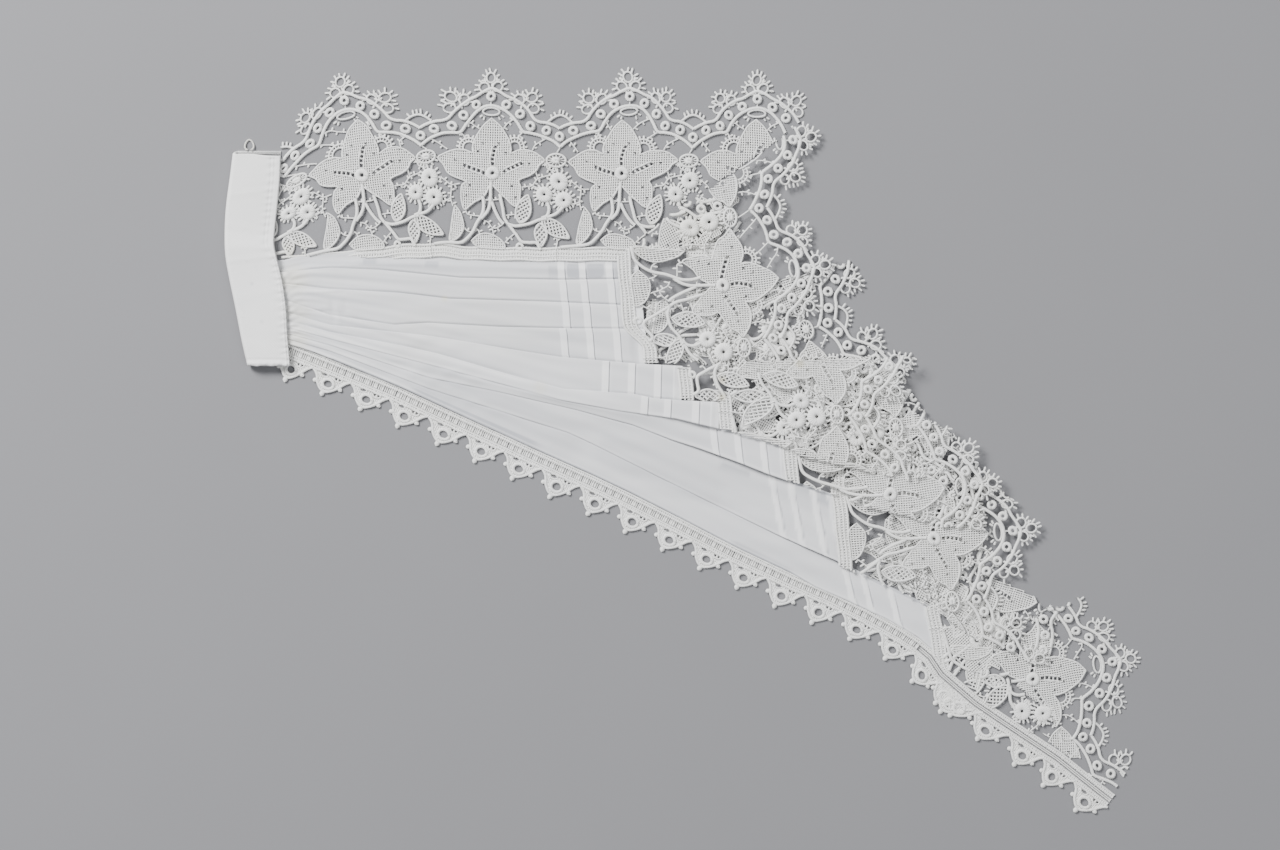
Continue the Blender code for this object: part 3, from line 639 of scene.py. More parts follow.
# How high the cloth may lie: near the hem just over its lace, and along the top seam
HEADING_OVER = (18, 18, 18, 10, 0, 0, 0, 0, 0)
OVER_HEADING = 0.42
CLOTH_RISES = 4.0
CLOTH_RISES_OVER = 26.0
TOP_SEAM_HIGH = 0.62
TOP_SEAM_RISES = 2.2
TOP_SEAM_RISES_OVER = (7.5, 19.5)
BAND_SEEN = (156, 366)
HELD_FROM = (3.0, -1.0)
HELD_BETWEEN = (1.25, 2.15)
HIDDEN_LAYERS = (0.66, 0.33)
HIDDEN_LEAST = 0.15
HIDDEN_BELOW = 0.1
HIDDEN_IN = 0.8
# Gathers, soft ridges and waves; each wave is a height, its turn across and down, and its start
GATHERS = 13
GATHER_DEEP = 0.22
GATHER_REACH = 46.0
GATHER_DRIFT = ((1.1, 0.0, 9.0), (0.5, 0.11, 0.0))
GATHER_EVEN = 0.65
GATHER_UNEVEN = (0.35, 0.0, 23.0, 1.0)
LAWN_LIE = ((0.06, -0.035, 0.35, 1.0), (1.0, 0.021, 0.0, 2.0), (0.05, 0.024, 0.19, 2.3),
            (0.04, 0.052, 0.11, 0.0))
LAWN_LIE_OWN = (380.0, 500.0)
RUFFLE = ((0.17, 0.35, 0.83), (0.13, -0.62, 0.31, 1.0))
RUFFLE_MIDDLE = 6.0
RUFFLE_HALF = 6.5
RIDGE_FADE = 0.125
RIDGES = (
    # from, to (x, y), height in mm, half width in squares
    ((290, 309), (328, 309), 0.30, 1.8),
    ((349, 314), (391, 326), 0.22, 2.4),
    ((314, 343), (400, 361), 0.22, 2.4),
    ((384, 330), (470, 352), 0.14, 3.5),
    ((442, 337), (540, 354), 0.14, 2.6),
    ((402, 346), (528, 380), -0.26, 3.2),
    ((400, 355), (455, 369), -0.14, 2.4),
    ((300, 293), (340, 291), 0.16, 1.5),
    ((296, 299), (322, 300), 0.14, 1.4),
    ((332, 300), (335, 322), -0.22, 2.2),
    ((345, 300), (347, 312), -0.20, 2.0),
    ((337, 306), (341, 326), 0.20, 1.8),
    ((432, 368), (538, 397), 0.20, 3.2),
    ((393, 363), (450, 379), -0.14, 2.6),
    ((400, 372), (560, 424), 0.08, 4.0),
    ((330, 262), (420, 263), 0.08, 1.6),
    ((330, 276), (470, 284), 0.08, 1.6),
    ((470, 333), (640, 341), 0.08, 2.0),
)
LAWN_WHITE = (0.83, 0.83, 0.84)
# The sheer grey, which is also the colour that painted shade blends towards
LAWN_SHEER_AND_SHADE = (0.42, 0.43, 0.46)
LAWN_AGED = (0.77, 0.765, 0.745)
LAWN_STAINS = ((294, 280, 13, 0.45), (297, 312, 12, 0.3), (297, 340, 11, 0.35), (445, 299, 3.0, 0.5),
               (540, 388, 6.0, 0.3), (420, 330, 30, 0.10), (500, 320, 40, 0.08))
STAIN_BEIGE = (0.66, 0.63, 0.50)
# Streaks of painted soft shade and light along the pleats, as over shallow folds, stronger near the band
STREAKS = 0.055
STREAKS_NEAR_BAND = 0.08
STREAKS_NEAR = (430.0, 310.0)
STREAK_WAVES = ((1.0, 0.011, 61.0), (0.8, -0.017, 97.0, 1.0), (0.7, 0.02, 23.0), (1.0, 0.013, 9.0))
# How pale one layer of lawn shows, and how far painted shade darkens it
ONE_LAYER = 0.55
SHADE_DARKENS = 0.42
PATCH_ENDS = (1.25, 0.95)
PATCH_SIDES = (1.3, 0.8)
PATCH_HIDDEN = 0.8
LONG_EDGE_IN = 1.0
LONG_EDGE_HALF = 0.8
LONG_EDGE_DARK = 0.85
LONG_EDGE_PALER = 0.5
LONG_EDGE_PALER_FROM = (790.0, 830.0)
SHEER_AND_SHADOW_PATCHES = (
    # middle, half length, half width, turn in degrees (positive turns down the sheet), how much darker it
    # shows
    ((574, 271), 6, 6, 0, 0.85),
    ((595, 271), 7, 6, 0, 0.95),
    ((370, 261), 6, 3, 0, 0.35),
    ((432, 264), 6, 3, 5, 0.35),
    ((475, 418), 62, 2.6, 24, 0.55),
    ((762, 557), 30, 2.0, 26, 0.35),
    # These three are painted shadow under crease seven, where the pleat above lies over the one below
    ((735, 469), 14, 4, 20, 0.4),
    ((803, 489), 9, 5, 20, 0.35),
    ((827, 500), 8, 6, 20, 0.45),
    ((958, 665), 9, 9, 30, 0.6),
    ((500, 410), 80, 16, 24, 0.14),
    ((660, 470), 60, 14, 22, 0.12),
    ((470, 267), 175, 6, 1, 0.12),
    ((390, 262), 30, 4, 1, 0.10),
    ((556, 272), 7, 6, 0, 0.25),
    ((616, 272), 5, 7, 0, 0.25),
)


def line_x(line, x):
    """How far down the sheet a line of places runs, for an array of x."""
    line = np.asarray(line, float)
    return np.interp(x, line[:, 0], line[:, 1])


def crease_heights(crease, x):
    """The top of the cloth just above and just below a crease, for an array of x."""
    start, mound, step = crease[1:4]
    raised = GATHERED_HEIGHT + (mound - GATHERED_HEIGHT) * smooth((x - PLEATS_START) / MOUND_LENGTH)
    fine = np.interp(x, SHADE_PLACES, SHADES.get(crease[0], NO_SHADE)[0])
    seen = LEAST_STEP_PALE + (1.0 - LEAST_STEP_PALE) * fine
    least = math.copysign(LEAST_STEP, step) * (step != 0) * seen
    half = step * smooth((x - start) / STEP_LENGTH) / 2 + least
    return raised - half, raised + half


def hem_of(number, y):
    """How far across the sheet a pleat's hem is at y."""
    x, middle, turn = HEMS[number]
    turn = math.radians(turn)
    start = (x - HEM_INSIDE * math.cos(turn), middle + HEM_INSIDE * math.sin(turn))
    return start[0] + (y - start[1]) * math.tan(turn)


def hem_end(number, crease):
    """How far across the sheet a pleat's hem meets a crease."""
    x = HEM_GUESS
    for _ in range(HEM_TRIES):
        x = hem_of(number, float(line_x(crease[4], x)))
    return x


def soft_folds(x, y, number):
    """Small soft rises and hollows of the cloth: gathers at the band, ridges, and an uneven lie."""
    top, foot = line_x(CREASES[0][4], x), line_x(CREASES[-1][4], x)
    share = (y - top) / (foot - top)
    edge = line_at(BAND_RIGHT, np.clip(y, *BAND_SEEN))
    reach = 1.0 - smooth((x - edge) / GATHER_REACH)
    drift = sum(wave(x, share, *row) for row in GATHER_DRIFT)
    even = GATHER_EVEN + wave(x, share, *GATHER_UNEVEN)
    height = GATHER_DEEP * reach * np.cos(math.tau * GATHERS * share + drift) * even
    for start, end, high, wide in RIDGES:
        start, way = np.array(start, float), np.array(end, float) - np.array(start, float)
        along = ((x - start[0]) * way[0] + (y - start[1]) * way[1]) / (way @ way)
        away = ((x - start[0]) * -way[1] + (y - start[1]) * way[0]) / math.hypot(*way)
        ends = ramp(along, -RIDGE_FADE, RIDGE_FADE) * ramp(along, 1.0 + RIDGE_FADE, 1.0 - RIDGE_FADE)
        height += high * bell(away, wide) * ends
    own = number * ramp(x, *LAWN_LIE_OWN)
    lie = [wave(x, y, *row, own) for row in LAWN_LIE]
    height += lie[0] * lie[1] + lie[2] + lie[3]
    ruffle = bell(x - edge - RUFFLE_MIDDLE, RUFFLE_HALF)
    return height + ruffle * sum(wave(x, y, *row) for row in RUFFLE)


def tuck_heights(from_hem, number):
    """Each pin tuck is a tiny pleat pressed towards the hem: a gentle rise that ends in a sharp edge."""
    height = np.zeros_like(from_hem)
    doubled = np.zeros_like(from_hem)
    for place in TUCKS[number]:
        inward = from_hem - place
        on = (inward >= 0.0) & (inward <= TUCK_WIDE)
        height += np.where(on, TUCK_HIGH * (1.0 - TUCK_FALLS * inward / TUCK_WIDE), 0.0)
        doubled += np.where((inward > -TUCK_PALE_PAST) & (inward < TUCK_WIDE - TUCK_PALE_SHORT), 1.0, 0.0)
        deep, before, half = TUCK_STITCHES
        height -= deep * bell(inward + before, half)
        # a painted shade line just past the tuck's sharp edge
        deep, before, half = TUCK_SHADE_LINE
        doubled -= deep * bell(inward + before, half)
    hem = ramp(from_hem, *HEM_DOUBLED)
    return height + HEM_DOUBLED_HIGH * hem, np.clip(doubled + HEM_DOUBLED_PALE * hem, -1.0, 1.0)


def hem_stations(number):
    """Distances from the hem, close together at the tucks."""
    near = [*HEM_STATIONS, *np.arange(0.0, TUCK_REACH, HEM_STATION_STEP)]
    near += [place + step for place in TUCKS[number] for step in TUCK_STATIONS]
    return np.unique(np.round(near, 1))


def fold_side(last, outward, rolled, roll, down, fold_room):
    """What lies past a pleat's side: the roll of its fold and the layer under it, or a lower layer's edge."""
    if rolled:
        curl = [(last[0], last[1] + outward * roll * math.sin(turn), last[2] - down * (1.0 - math.cos(turn)),
                 last[3]) for turn in np.linspace(0.0, math.pi, FOLD_TURNS)[1:]]
        curl.append(np.array(curl[-1]) + np.array([0.0, -outward * FOLD_UNDER * fold_room, 0.0, 0.0]))
        return np.array(curl)
    steps = np.arange(1, FOLD_TURNS + 1)[:, None]
    return last + steps * np.array([0.0, outward * LOWER_AWAY, -LOWER_DOWN, 0.0])


def pleat_face(number):
    """The face of one pleat as rows of places along it: its top, its sides, and how pale it shows."""
    upper, lower = CREASES[number], CREASES[number + 1]
    top_rolled, low_rolled = upper[3] >= 0, lower[3] <= 0
    shades = [SHADES.get(crease[0], NO_SHADE) for crease in (upper, lower)]
    ends = [hem_end(number, crease) for crease in (upper, lower)]
    starts = [line_x(crease[4], LAWN_FROM) for crease in (upper, lower)]
    across = np.linspace(0.0, 1.0, LAWN_ACROSS)
    hem = ends[0] + (ends[1] - ends[0]) * across
    begin = line_at(BAND_RIGHT, starts[0] + (starts[1] - starts[0]) * across) - LAWN_IN_BAND
    stations = [(share, AWAY_FROM_HEM) for share in np.linspace(0.0, 1.0, LAWN_STATIONS)[:-1]]
    stations += [(1.0, from_hem) for from_hem in hem_stations(number)[::-1]]
    rows = []
    for along, from_hem in stations:
        from_hem = np.full(LAWN_ACROSS, from_hem)
        x = hem - from_hem if along == 1.0 else begin + (hem - TUCK_REACH - begin) * along
        y_upper, y_lower = float(line_x(upper[4], x[0])), float(line_x(lower[4], x[-1]))
        z_upper, z_lower = crease_heights(upper, x[0])[1], crease_heights(lower, x[-1])[0]
        wide = y_lower - y_upper
        fold_room = min(1.0, wide / FOLD_NEEDS)
        roll = FOLD_RADIUS / SQUARE * fold_room
        under = min(LOWER_UNDER, LOWER_UNDER_SHARE * wide)
        y0 = y_upper + (roll if top_rolled else -under)
        y1 = y_lower - (roll if low_rolled else -under)
        beside = np.array(BESIDE_CREASE) * min(1.0, wide / BESIDE_NEEDS) + roll
        inner = min(INNER_FROM * fold_room, INNER_SHARE * (y1 - y0))
        between = LAWN_ACROSS - 2 * len(BESIDE_CREASE) - 2
        y = np.concatenate([[y0], y0 + beside, np.linspace(y0 + inner, y1 - inner, between),
                            y1 - beside[::-1], [y1]])
        z = z_upper + (z_lower - z_upper) * np.clip((y - y_upper) / wide, 0.0, 1.0)
        # seen: the painted shade and painted highlight of the creases, added to how pale the cloth shows
        seen = np.zeros(LAWN_ACROSS)
        for rolled, from_crease, shade, end in ((top_rolled, y - y_upper, shades[0], 0),
                                                (low_rolled, y_lower - y, shades[1], -1)):
            fine, soft = (float(np.interp(x[end], SHADE_PLACES, row)) for row in shade)
            if rolled:
                # a painted highlight along the top of the rolled fold
                pale = FOLD_HIGHLIGHT[0] + FOLD_HIGHLIGHT[1] * fine + FOLD_HIGHLIGHT[2] * soft
                seen += pale * bell(from_crease - FOLD_HIGHLIGHT_IN, FOLD_HIGHLIGHT_HALF)
                continue
            dip = CREASE_DIP_PALE + (1.0 - CREASE_DIP_PALE) * fine
            dip *= CREASE_DIP_LEAST + CREASE_DIP * fold_room
            z = z - dip * ramp(from_crease, *CREASE_DIP_REACH)
            # painted shade on the covered face beside the crease: a fine dark line and a soft shade
            below = np.maximum(from_crease, 0.0)
            dark = fine * (CREASE_SHADE + CREASE_SHADE_WIDE * fold_room ** 2)
            seen -= dark * bell(below, CREASE_SHADE_HALF) + soft * bell(below, CREASE_SOFT_SHADE_HALF * fold_room)
        slant = TUCK_SLANT[number] * (y - 0.5 * (y0 + y1))
        raised, doubled = tuck_heights(from_hem + slant, number)
        z = z + raised + soft_folds(x, y, number)
        over = HEADING_OVER[number]
        cap = HEM_LEVELS[number] * LEVEL + OVER_HEADING
        cap = cap + CLOTH_RISES * ramp(from_hem, over, over + CLOTH_RISES_OVER)
        if number == 0:
            cap = np.minimum(cap, TOP_SEAM_HIGH + TOP_SEAM_RISES * ramp(y - y_upper, *TOP_SEAM_RISES_OVER))
        z = np.minimum(z, cap)
        edge = line_at(BAND_RIGHT, np.clip(y, *BAND_SEEN))
        z = z + (np.clip(z, *HELD_BETWEEN) - z) * ramp(x - edge, *HELD_FROM)
        # the fourth column is how pale the cloth shows: its doubling, with painted shade and highlight
        body = np.stack([x, y, z, np.clip(doubled + seen, -1.0, 1.0)], -1)
        sides = []
        for side, outward, rolled in ((0, -1.0, top_rolled), (-1, 1.0, low_rolled)):
            down = FOLD_RADIUS * fold_room
            if (number, side) in ((0, 0), (len(HEMS) - 1, -1)):
                down = max(FOLD_LEAST, (body[side][2] - FOLD_OFF_TABLE) / 2)
            sides.append(fold_side(body[side], outward, rolled, roll, down, fold_room))
        rows.append(np.vstack([sides[0][::-1], body, sides[1]]))
    return np.array(rows)


def hidden_layer(face, share):
    """A hidden layer of the pleat, at a share of the height, seen only at the hem and from the side."""
    layer = face[::3, FOLD_TURNS + 1:-FOLD_TURNS - 1:3].copy()
    layer[-1] = face[-1, FOLD_TURNS + 1:-FOLD_TURNS - 1:3]
    layer[..., 2] = np.maximum(HIDDEN_LEAST, layer[..., 2] * share - HIDDEN_BELOW)
    layer[..., 0] -= HIDDEN_IN
    return layer


def lawn():
    """Sheer white cotton: whiter where doubled, greyer where the dark lace shows through and in painted
    shade.
    """
    material, tree, shader, colour = cotton("lawn", LAWN_WHITE, LAWN_AGED, amount=0.35, roughness=0.8,
                                            sheen=0.06)
    # layers: how pale the lawn shows, from its sheerness and doubling and from painted shade and highlight
    layers = node(tree, "ShaderNodeAttribute", attribute_name="layers")
    sheer = math_node(tree, "SUBTRACT", 1.0, layers.outputs["Fac"])
    blended = blend_node(tree, sheer, colour, (*LAWN_SHEER_AND_SHADE, 1.0))
    tree.links.new(spots(tree, blended, LAWN_STAINS, STAIN_BEIGE), shader.inputs["Base Color"])
    weave = node(tree, "ShaderNodeGroup", node_tree=PLAIN_WEAVE)
    weave.inputs["Threads per metre"].default_value = 3200.0
    weave.inputs["Slubs"].default_value = 0.5
    bump(tree, shader, weave.outputs[0], distance=0.00005, strength=0.6)
    return material


def sheerness(x, y, doubled):
    """How pale the lawn shows: 0 where sheerest, 1 where doubled and whitest, with painted shade and
    highlight.
    """
    # doubled holds the doubled cloth with the painted shade and painted highlight of creases, folds and tucks
    pale = np.clip(doubled, 0.0, 1.0)
    layers = ONE_LAYER + (1.0 - ONE_LAYER) * pale + SHADE_DARKENS * np.clip(doubled, -1.0, 0.0)
    top, foot = line_x(CREASES[0][4], x), line_x(CREASES[-1][4], x)
    across = np.clip((y - top) / (foot - top), 0.0, 1.0)
    # streaks of painted soft shade and light along the pleats
    streaks = [wave(x, across, *row) for row in STREAK_WAVES]
    strength = STREAKS + STREAKS_NEAR_BAND * ramp(x, *STREAKS_NEAR)
    layers = layers + strength * (streaks[0] + streaks[1] + streaks[2] * streaks[3])
    # sheer patches, and patches of painted shadow under crease seven
    for (mx, my), long, wide, turn, deep in SHEER_AND_SHADOW_PATCHES:
        cos, sin = math.cos(math.radians(turn)), math.sin(math.radians(turn))
        along = np.abs((x - mx) * cos + (y - my) * sin) / long
        away = np.abs((y - my) * cos - (x - mx) * sin) / wide
        near = ramp(along, *PATCH_ENDS) * ramp(away, *PATCH_SIDES)
        layers = layers - deep * near * (1.0 - PATCH_HIDDEN * pale)
    line = bell(foot - y - LONG_EDGE_IN, LONG_EDGE_HALF)
    dark = LONG_EDGE_DARK - LONG_EDGE_PALER * ramp(x, *LONG_EDGE_PALER_FROM)
    return layers - dark * line * (x > PLEATS_START)


def lawn_piece():
    """All nine pleats and their hidden layers as one piece, with how pale each point shows."""
    points, faces, count = [], [], 0
    for number in range(len(HEMS)):
        face = pleat_face(number)
        for grid in (face, *(hidden_layer(face, share) for share in HIDDEN_LAYERS)):
            points.append(grid.reshape(-1, 4))
            faces.append(grid_faces(grid.shape[0], grid.shape[1], count)[:, ::-1])
            count += grid.shape[0] * grid.shape[1]
    points = np.concatenate(points)
    piece = piece_of("pleated_lawn", to_metres(points[:, :3]), [np.concatenate(faces)], lawn())
    # layers: how pale the lawn shows, from its sheerness and doubling and from painted shade and highlight
    layers = piece.data.attributes.new("layers", "FLOAT", "POINT")
    layers.data.foreach_set("value", sheerness(points[:, 0], points[:, 1], points[:, 3]).astype(np.float32))
    return piece


pleats = lawn_piece()
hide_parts("lawn_panel")

# The deep lace border is needle-fine crochet: a chart of one star flower with its stems, leaves, padded rings
# and scalloped edge, worked again and again in white cotton thread. One length lies along the top of the
# panel, folds at the mitre, and each pleat carries the next length further down and on another level.

FLOOR_GAP = 0.05
OFF_TABLE = 0.02
RAISED = 0.35
REPEAT_HALF = 66.0
FLOWER_ALONE = 20.0
ROLL_DOWN = 0.5
ROLL_REACH = 4.0
HEADING_LIFT = 0.45
HEADING_LIFTS_OVER = (-75.0, -81.0)
LACE_WHITE = (0.84, 0.84, 0.83)
LACE_AGED = (0.76, 0.75, 0.70)
LACE_STAINS = ((799, 364, 4.0, 0.5), (722, 380, 3.5, 0.5), (722, 397, 3.5, 0.45), (694, 224, 22, 0.16),
               (288, 252, 8, 0.2), (300, 250, 10, 0.15), (640, 250, 8, 0.12))

# Half of the scallop's cords, as squares along the seam and outward, from the scallop's tip to its valley
OUTER_CORD = ((0, 84), (8, 81), (15, 77), (23, 73.5), (30, 68), (36, 61.5), (41, 54), (46, 51), (52, 50),
              (60, 47), (66, 43.5))
INNER_CORD = ((0, 67), (7, 66), (14, 62.5), (20, 57), (25, 50), (30, 41.5), (37, 40), (45, 38), (53, 34.5),
              (60, 30.5), (66, 25.5))
VALLEY_LENS = ((54, 50.5), (60, 55), (66, 57), (72, 55), (78, 50.5))
RING_CHAIN = ((0, 76), (15, 68.5), (28, 58.5), (37.5, 46.7), (53, 42), (66, 35.5))
RING_MIDDLE = 3.3
TREFOILS = (
    # the foot on the outer cord, and the middles of its three loops
    ((0, 81), ((-7.5, 85.5), (-1, 95), (6, 86))),
    ((-30, 67), ((-40, 64), (-38.5, 75), (-27, 73.5))),
    ((30, 67), ((40, 64), (38.5, 75), (27, 73.5))),
)
STAR = ((0, 55), (-8, 48), (-13, 40), (-17, 32), (-19, 24), (-19, 20), (-27, 23), (-35, 23), (-43, 20),
        (-48, 17), (-54, 12.5), (-48, 6), (-44, -1), (-37, -5), (-26, -9), (-30, -13), (-31.5, -21),
        (-31, -29), (-28, -36), (-23, -32), (-18, -28), (-12, -25), (-7, -21), (-3, -14), (0, -12), (4, -16),
        (10, -22), (15, -26), (19, -30), (24, -33), (28, -30), (29, -23), (29, -13), (27, -6.5), (39, -1),
        (46, 4), (49, 9), (54, 13.5), (48, 19), (43, 22), (35, 24), (27, 23.5), (19, 20), (19, 24), (17, 32),
        (13, 40), (8, 48))
MIDRIBS = (
    ((0, 10), (0, 14.4), (1, 18.8), (2, 23), (3.5, 27)),
    ((-27, 6.5), (-22.5, 5), (-18, 3.5), (-13.5, 2), (-9, 0.5)),
    ((12, 1.5), (16.5, 4), (21, 6), (25.5, 8.5), (30, 10.5)),
)
EYELETS = ((-14, 22), (14, 21), (-8, 31), (7, 31), (-37, 12), (38, 11), (-22, -12), (20, -13), (-26, -22),
           (24, -24))
LEAF_D = ((-38, -33), (-32, -40), (-29, -52), (-33, -62), (-41, -69), (-46, -69), (-44, -58), (-41, -46))
LEAF_E = ((-21, -67), (-13, -61), (-4, -60), (6, -63), (12, -68), (13, -74), (5, -74.5), (-13, -74))
OPEN_LEAVES = (
    # base, tip, width
    ((28, -50), (37, -22), 15.0), ((48, -50), (50, -72), 12.0), ((50, -46), (78, -65), 14.0))
PADDED_RINGS = ((68, -7, 9.0), (53, -21, 8.0), (72, -26, 8.5))
STEMS = (
    ((-1, -8), (-2, -28), (-5, -38), (-11, -45)),
    ((-10, -22), (-9, -31), (-10, -40), (-15, -49), (-19, -57), (-26, -65), (-33, -70), (-46, -72),
     (-63, -74)),
    ((-1, -28), (3, -38), (8, -46), (12, -50)),
    ((8, -21), (11, -36), (13, -45), (19, -53), (25, -61), (30, -68), (37, -69), (45, -69), (49, -75)),
    ((16, -50), (25, -52.5), (37, -51), (47, -47), (55, -45)),
    ((56, -28), (58, -35), (56, -42), (50, -45)),
    ((72, -33), (65, -40), (55, -44)),
)
BARS = (
    # points, how much of the scallop's shift each end takes
    (((-12, 45), (-17, 48), (-21, 51), (-27, 50)), (0, 1)),
    (((11, 45), (15, 50), (22, 54)), (0, 1)),
    (((-56, 31), (-50, 26), (-45, 22)), (1, 0)),
    (((52, 34), (43, 29), (41, 24)), (1, 0)),
    (((30, 41), (27, 38), (26, 36)), (1, 0)),
    (((-30, 41), (-27, 38), (-26, 36)), (1, 0)),
)
STILL_BARS = (
    ((29, -14), (35, -13), (41, -12), (47, -5), (60, -1)),
    ((41, -12), (46, -15), (48, -18)),
    ((45, 3), (46, -1), (47, -5)),
    ((79, -6), (84, -10), (90, -15), (98, -15)),
    ((90, -15), (89, -21), (88, -28), (90, -36)),
    ((79, -31), (84, -30), (88, -28)),
    ((-27, -36), (-25, -40), (-20, -41), (-13, -42)),
    ((-29, -53), (-25, -57), (-20, -58)),
    ((-8, -47), (-3, -49), (1, -54), (6, -54), (12, -50)),
    ((1, -54), (2, -58), (3, -62)),
    ((-16, -54), (-13, -57), (-12, -61)),
    ((13, -69), (18, -64), (23, -60)),
    ((64, -62), (66, -68), (65, -75)),
    ((-9, -26), (-3, -27), (5, -27), (10, -26)),
    ((29, -42), (22, -41), (14, -42)),
    ((54, 12), (56, 9), (58, 5), (65, 3)),
)
PLAIN_BARS = (
    (((0, 71), (0, 67)), (1, 1)),
    (((53, 13), (55, 14)), (0, 0)),
    (((-54, 12), (-56, 13)), (0, 0)),
    (((66, 25), (66, 21)), (1, 0)),
)
# Threads: half width in squares, half height and height above the lace's own level in mm
OUTER_THREAD = (1.55, 0.42, 0.50)
INNER_THREAD = (1.6, 0.42, 0.50)
LENS_THREAD = (1.25, 0.36, 0.48)
CHAIN_THREAD = (1.75, 0.42, 0.55)
TREFOIL_THREAD = (1.05, 0.33, 0.45)
STAR_THREAD = (0.85, 0.26, 0.50)
CENTRE_THREAD = (2.7, 0.42, 0.72)
RIB_THREAD = (0.8, 0.20, 0.62)
RUNG_THREAD = (0.65, 0.17, 0.58)
LEAF_THREAD = (0.8, 0.24, 0.50)
OPEN_LEAF_THREAD = (1.0, 0.28, 0.50)
STEM_THREAD = (1.6, 0.38, 0.62)
BAR_THREAD = (0.72, 0.24, 0.44)
PLAIN_BAR_THREAD = (0.7, 0.22, 0.42)
TIP_THREAD = (1.1, 0.30, 0.45)
FAN_THREAD = (0.9, 0.26, 0.44)
OUTER_FAN_THREAD = (0.95, 0.26, 0.44)
FAN_SPOKE_THREAD = (0.65, 0.20, 0.42)
OVAL_THREAD = (1.2, 0.30, 0.45)
OVAL_MIDDLE_THREAD = (2.3, 0.26, 0.46)
OVAL_SPOKE_THREAD = (0.6, 0.18, 0.42)
SMALL_RING_THREAD = (1.5, 0.36, 0.50)
HEADING_THREAD = (1.35, 0.36, 0.50)
HEADING_LINE_THREAD = (0.85, 0.22, 0.52)
CORD_WAVES = 0.06
HEADING_WAVES = 0.1
# Picots along the valley's lens and at the scallop's tip: place, and lean from straight outward
VALLEY_PICOTS = ((58, 54.5, -0.5), (61.5, 57, -0.3), (65, 58.5, -0.05), (68.5, 58, 0.15), (72, 56, 0.4),
                 (75, 53.5, 0.6))
TIP_LENS = (0, 61.5, 8.5, 3.6)
TIP_PICOTS = ((-9, 58, -0.9), (-7, 57, -0.5), (9, 58.5, 0.9), (7, 57, 0.5))
TREFOIL_LOOP = (5.2, 4.6)
TREFOIL_POINTS = 14
TREFOIL_HEART = 0.6
TREFOIL_PICOTS = 9
TREFOIL_PICOTS_TURN = 0.25
TREFOIL_PICOTS_AT = 5.6
TREFOIL_PICOT_LONG = 4.9
TREFOIL_CLEAR = 6.4
TREFOIL_SIDE = 0.8
TREFOIL_OPEN = 55
STAR_CENTRE = 4.4
CENTRE_HOLE = 5.5
RIB_HOLE = 1.55
RIB_BESIDE = 2.5
RUNG_HALF = 2.3
EYELET_HOLE = 1.0
PAD_PICOTS = 15
PAD_PICOTS_IN = 0.6
BAR_PICOTS_APART = 4
BAR_PICOT_LEAN = 0.3
FAN_MIDDLE = (22.0, 25.5)
FAN_RADII = ((6.4, FAN_THREAD), (10.0, OUTER_FAN_THREAD))
FAN_TURN = (-28, 128)
FAN_POINTS = 12
FAN_SPOKES = (-15, 125, 21)
FAN_SPOKE = (6.6, 9.8)
FAN_PICOTS_AT = 10.2
OVAL = (65.5, 13.5, 9.3, 6.2)
OVAL_MIDDLE = (2.8, 1.5)
OVAL_SPOKES = 12
OVAL_SPOKES_FROM = (4.6, 3.0)
OVAL_SPOKES_IN = 0.5
OVAL_PICOTS_PAST = 0.6
OVAL_PICOTS_BELOW = -0.2
SMALL_RING = (28, -73, 2.9)
HEADING_OUT = -74.5
HEADING_IN = -86.0
HEADING_LINES = (-78.3, -82.2)
PICOT_LONG = 4.6
PICOT_WIDE = 1.2
PICOT_HEIGHT = 0.42
# Woven grounds: spacing both ways in squares, height in mm, and how their threads go over and under
NET_DOWN = 2.25
NET_ACROSS = 2.5
NET_HEIGHT = 0.46
LOW_NET_HEIGHT = 0.40
NET_SAMPLE = 0.5
NET_LEAST = 4
NET_END = 0.7
NET_OVER = 0.09
NET_UNDER = 0.6
NET_UPRIGHT_LIFT = 0.05
NET_CROSS_SHARE = 0.85
NET_HALF_HIGH = (0.16, 0.13)


def inside(points, region):
    """Which of the places (x, y) lie inside a closed line of places."""
    region = np.asarray(region, float)
    x, y = np.asarray(points, float)[..., 0], np.asarray(points, float)[..., 1]
    within = np.zeros(x.shape, bool)
    for (x1, y1), (x2, y2) in zip(region, np.roll(region, -1, 0)):
        if y1 != y2:
            within ^= ((y1 > y) != (y2 > y)) & (x < x1 + (y - y1) / (y2 - y1) * (x2 - x1))
    return within


def from_edge(points, region):
    """How far each place is from a closed line of places."""
    region = np.asarray(region, float)
    nearest = np.full(len(points), np.inf)
    for start, end in zip(region, np.roll(region, -1, 0)):
        way = end - start
        share = np.clip(((points[:, :2] - start) @ way) / max(1e-9, way @ way), 0.0, 1.0)
        nearest = np.minimum(nearest, np.linalg.norm(points[:, :2] - (start + share[:, None] * way), axis=1))
    return nearest


def runs_of(mask):
    """The stretches of a row of true and false that are true, as (first, past the last)."""
    ends = np.flatnonzero(np.diff(np.concatenate([[False], mask, [False]]).astype(int)))
    return list(zip(ends[::2], ends[1::2]))


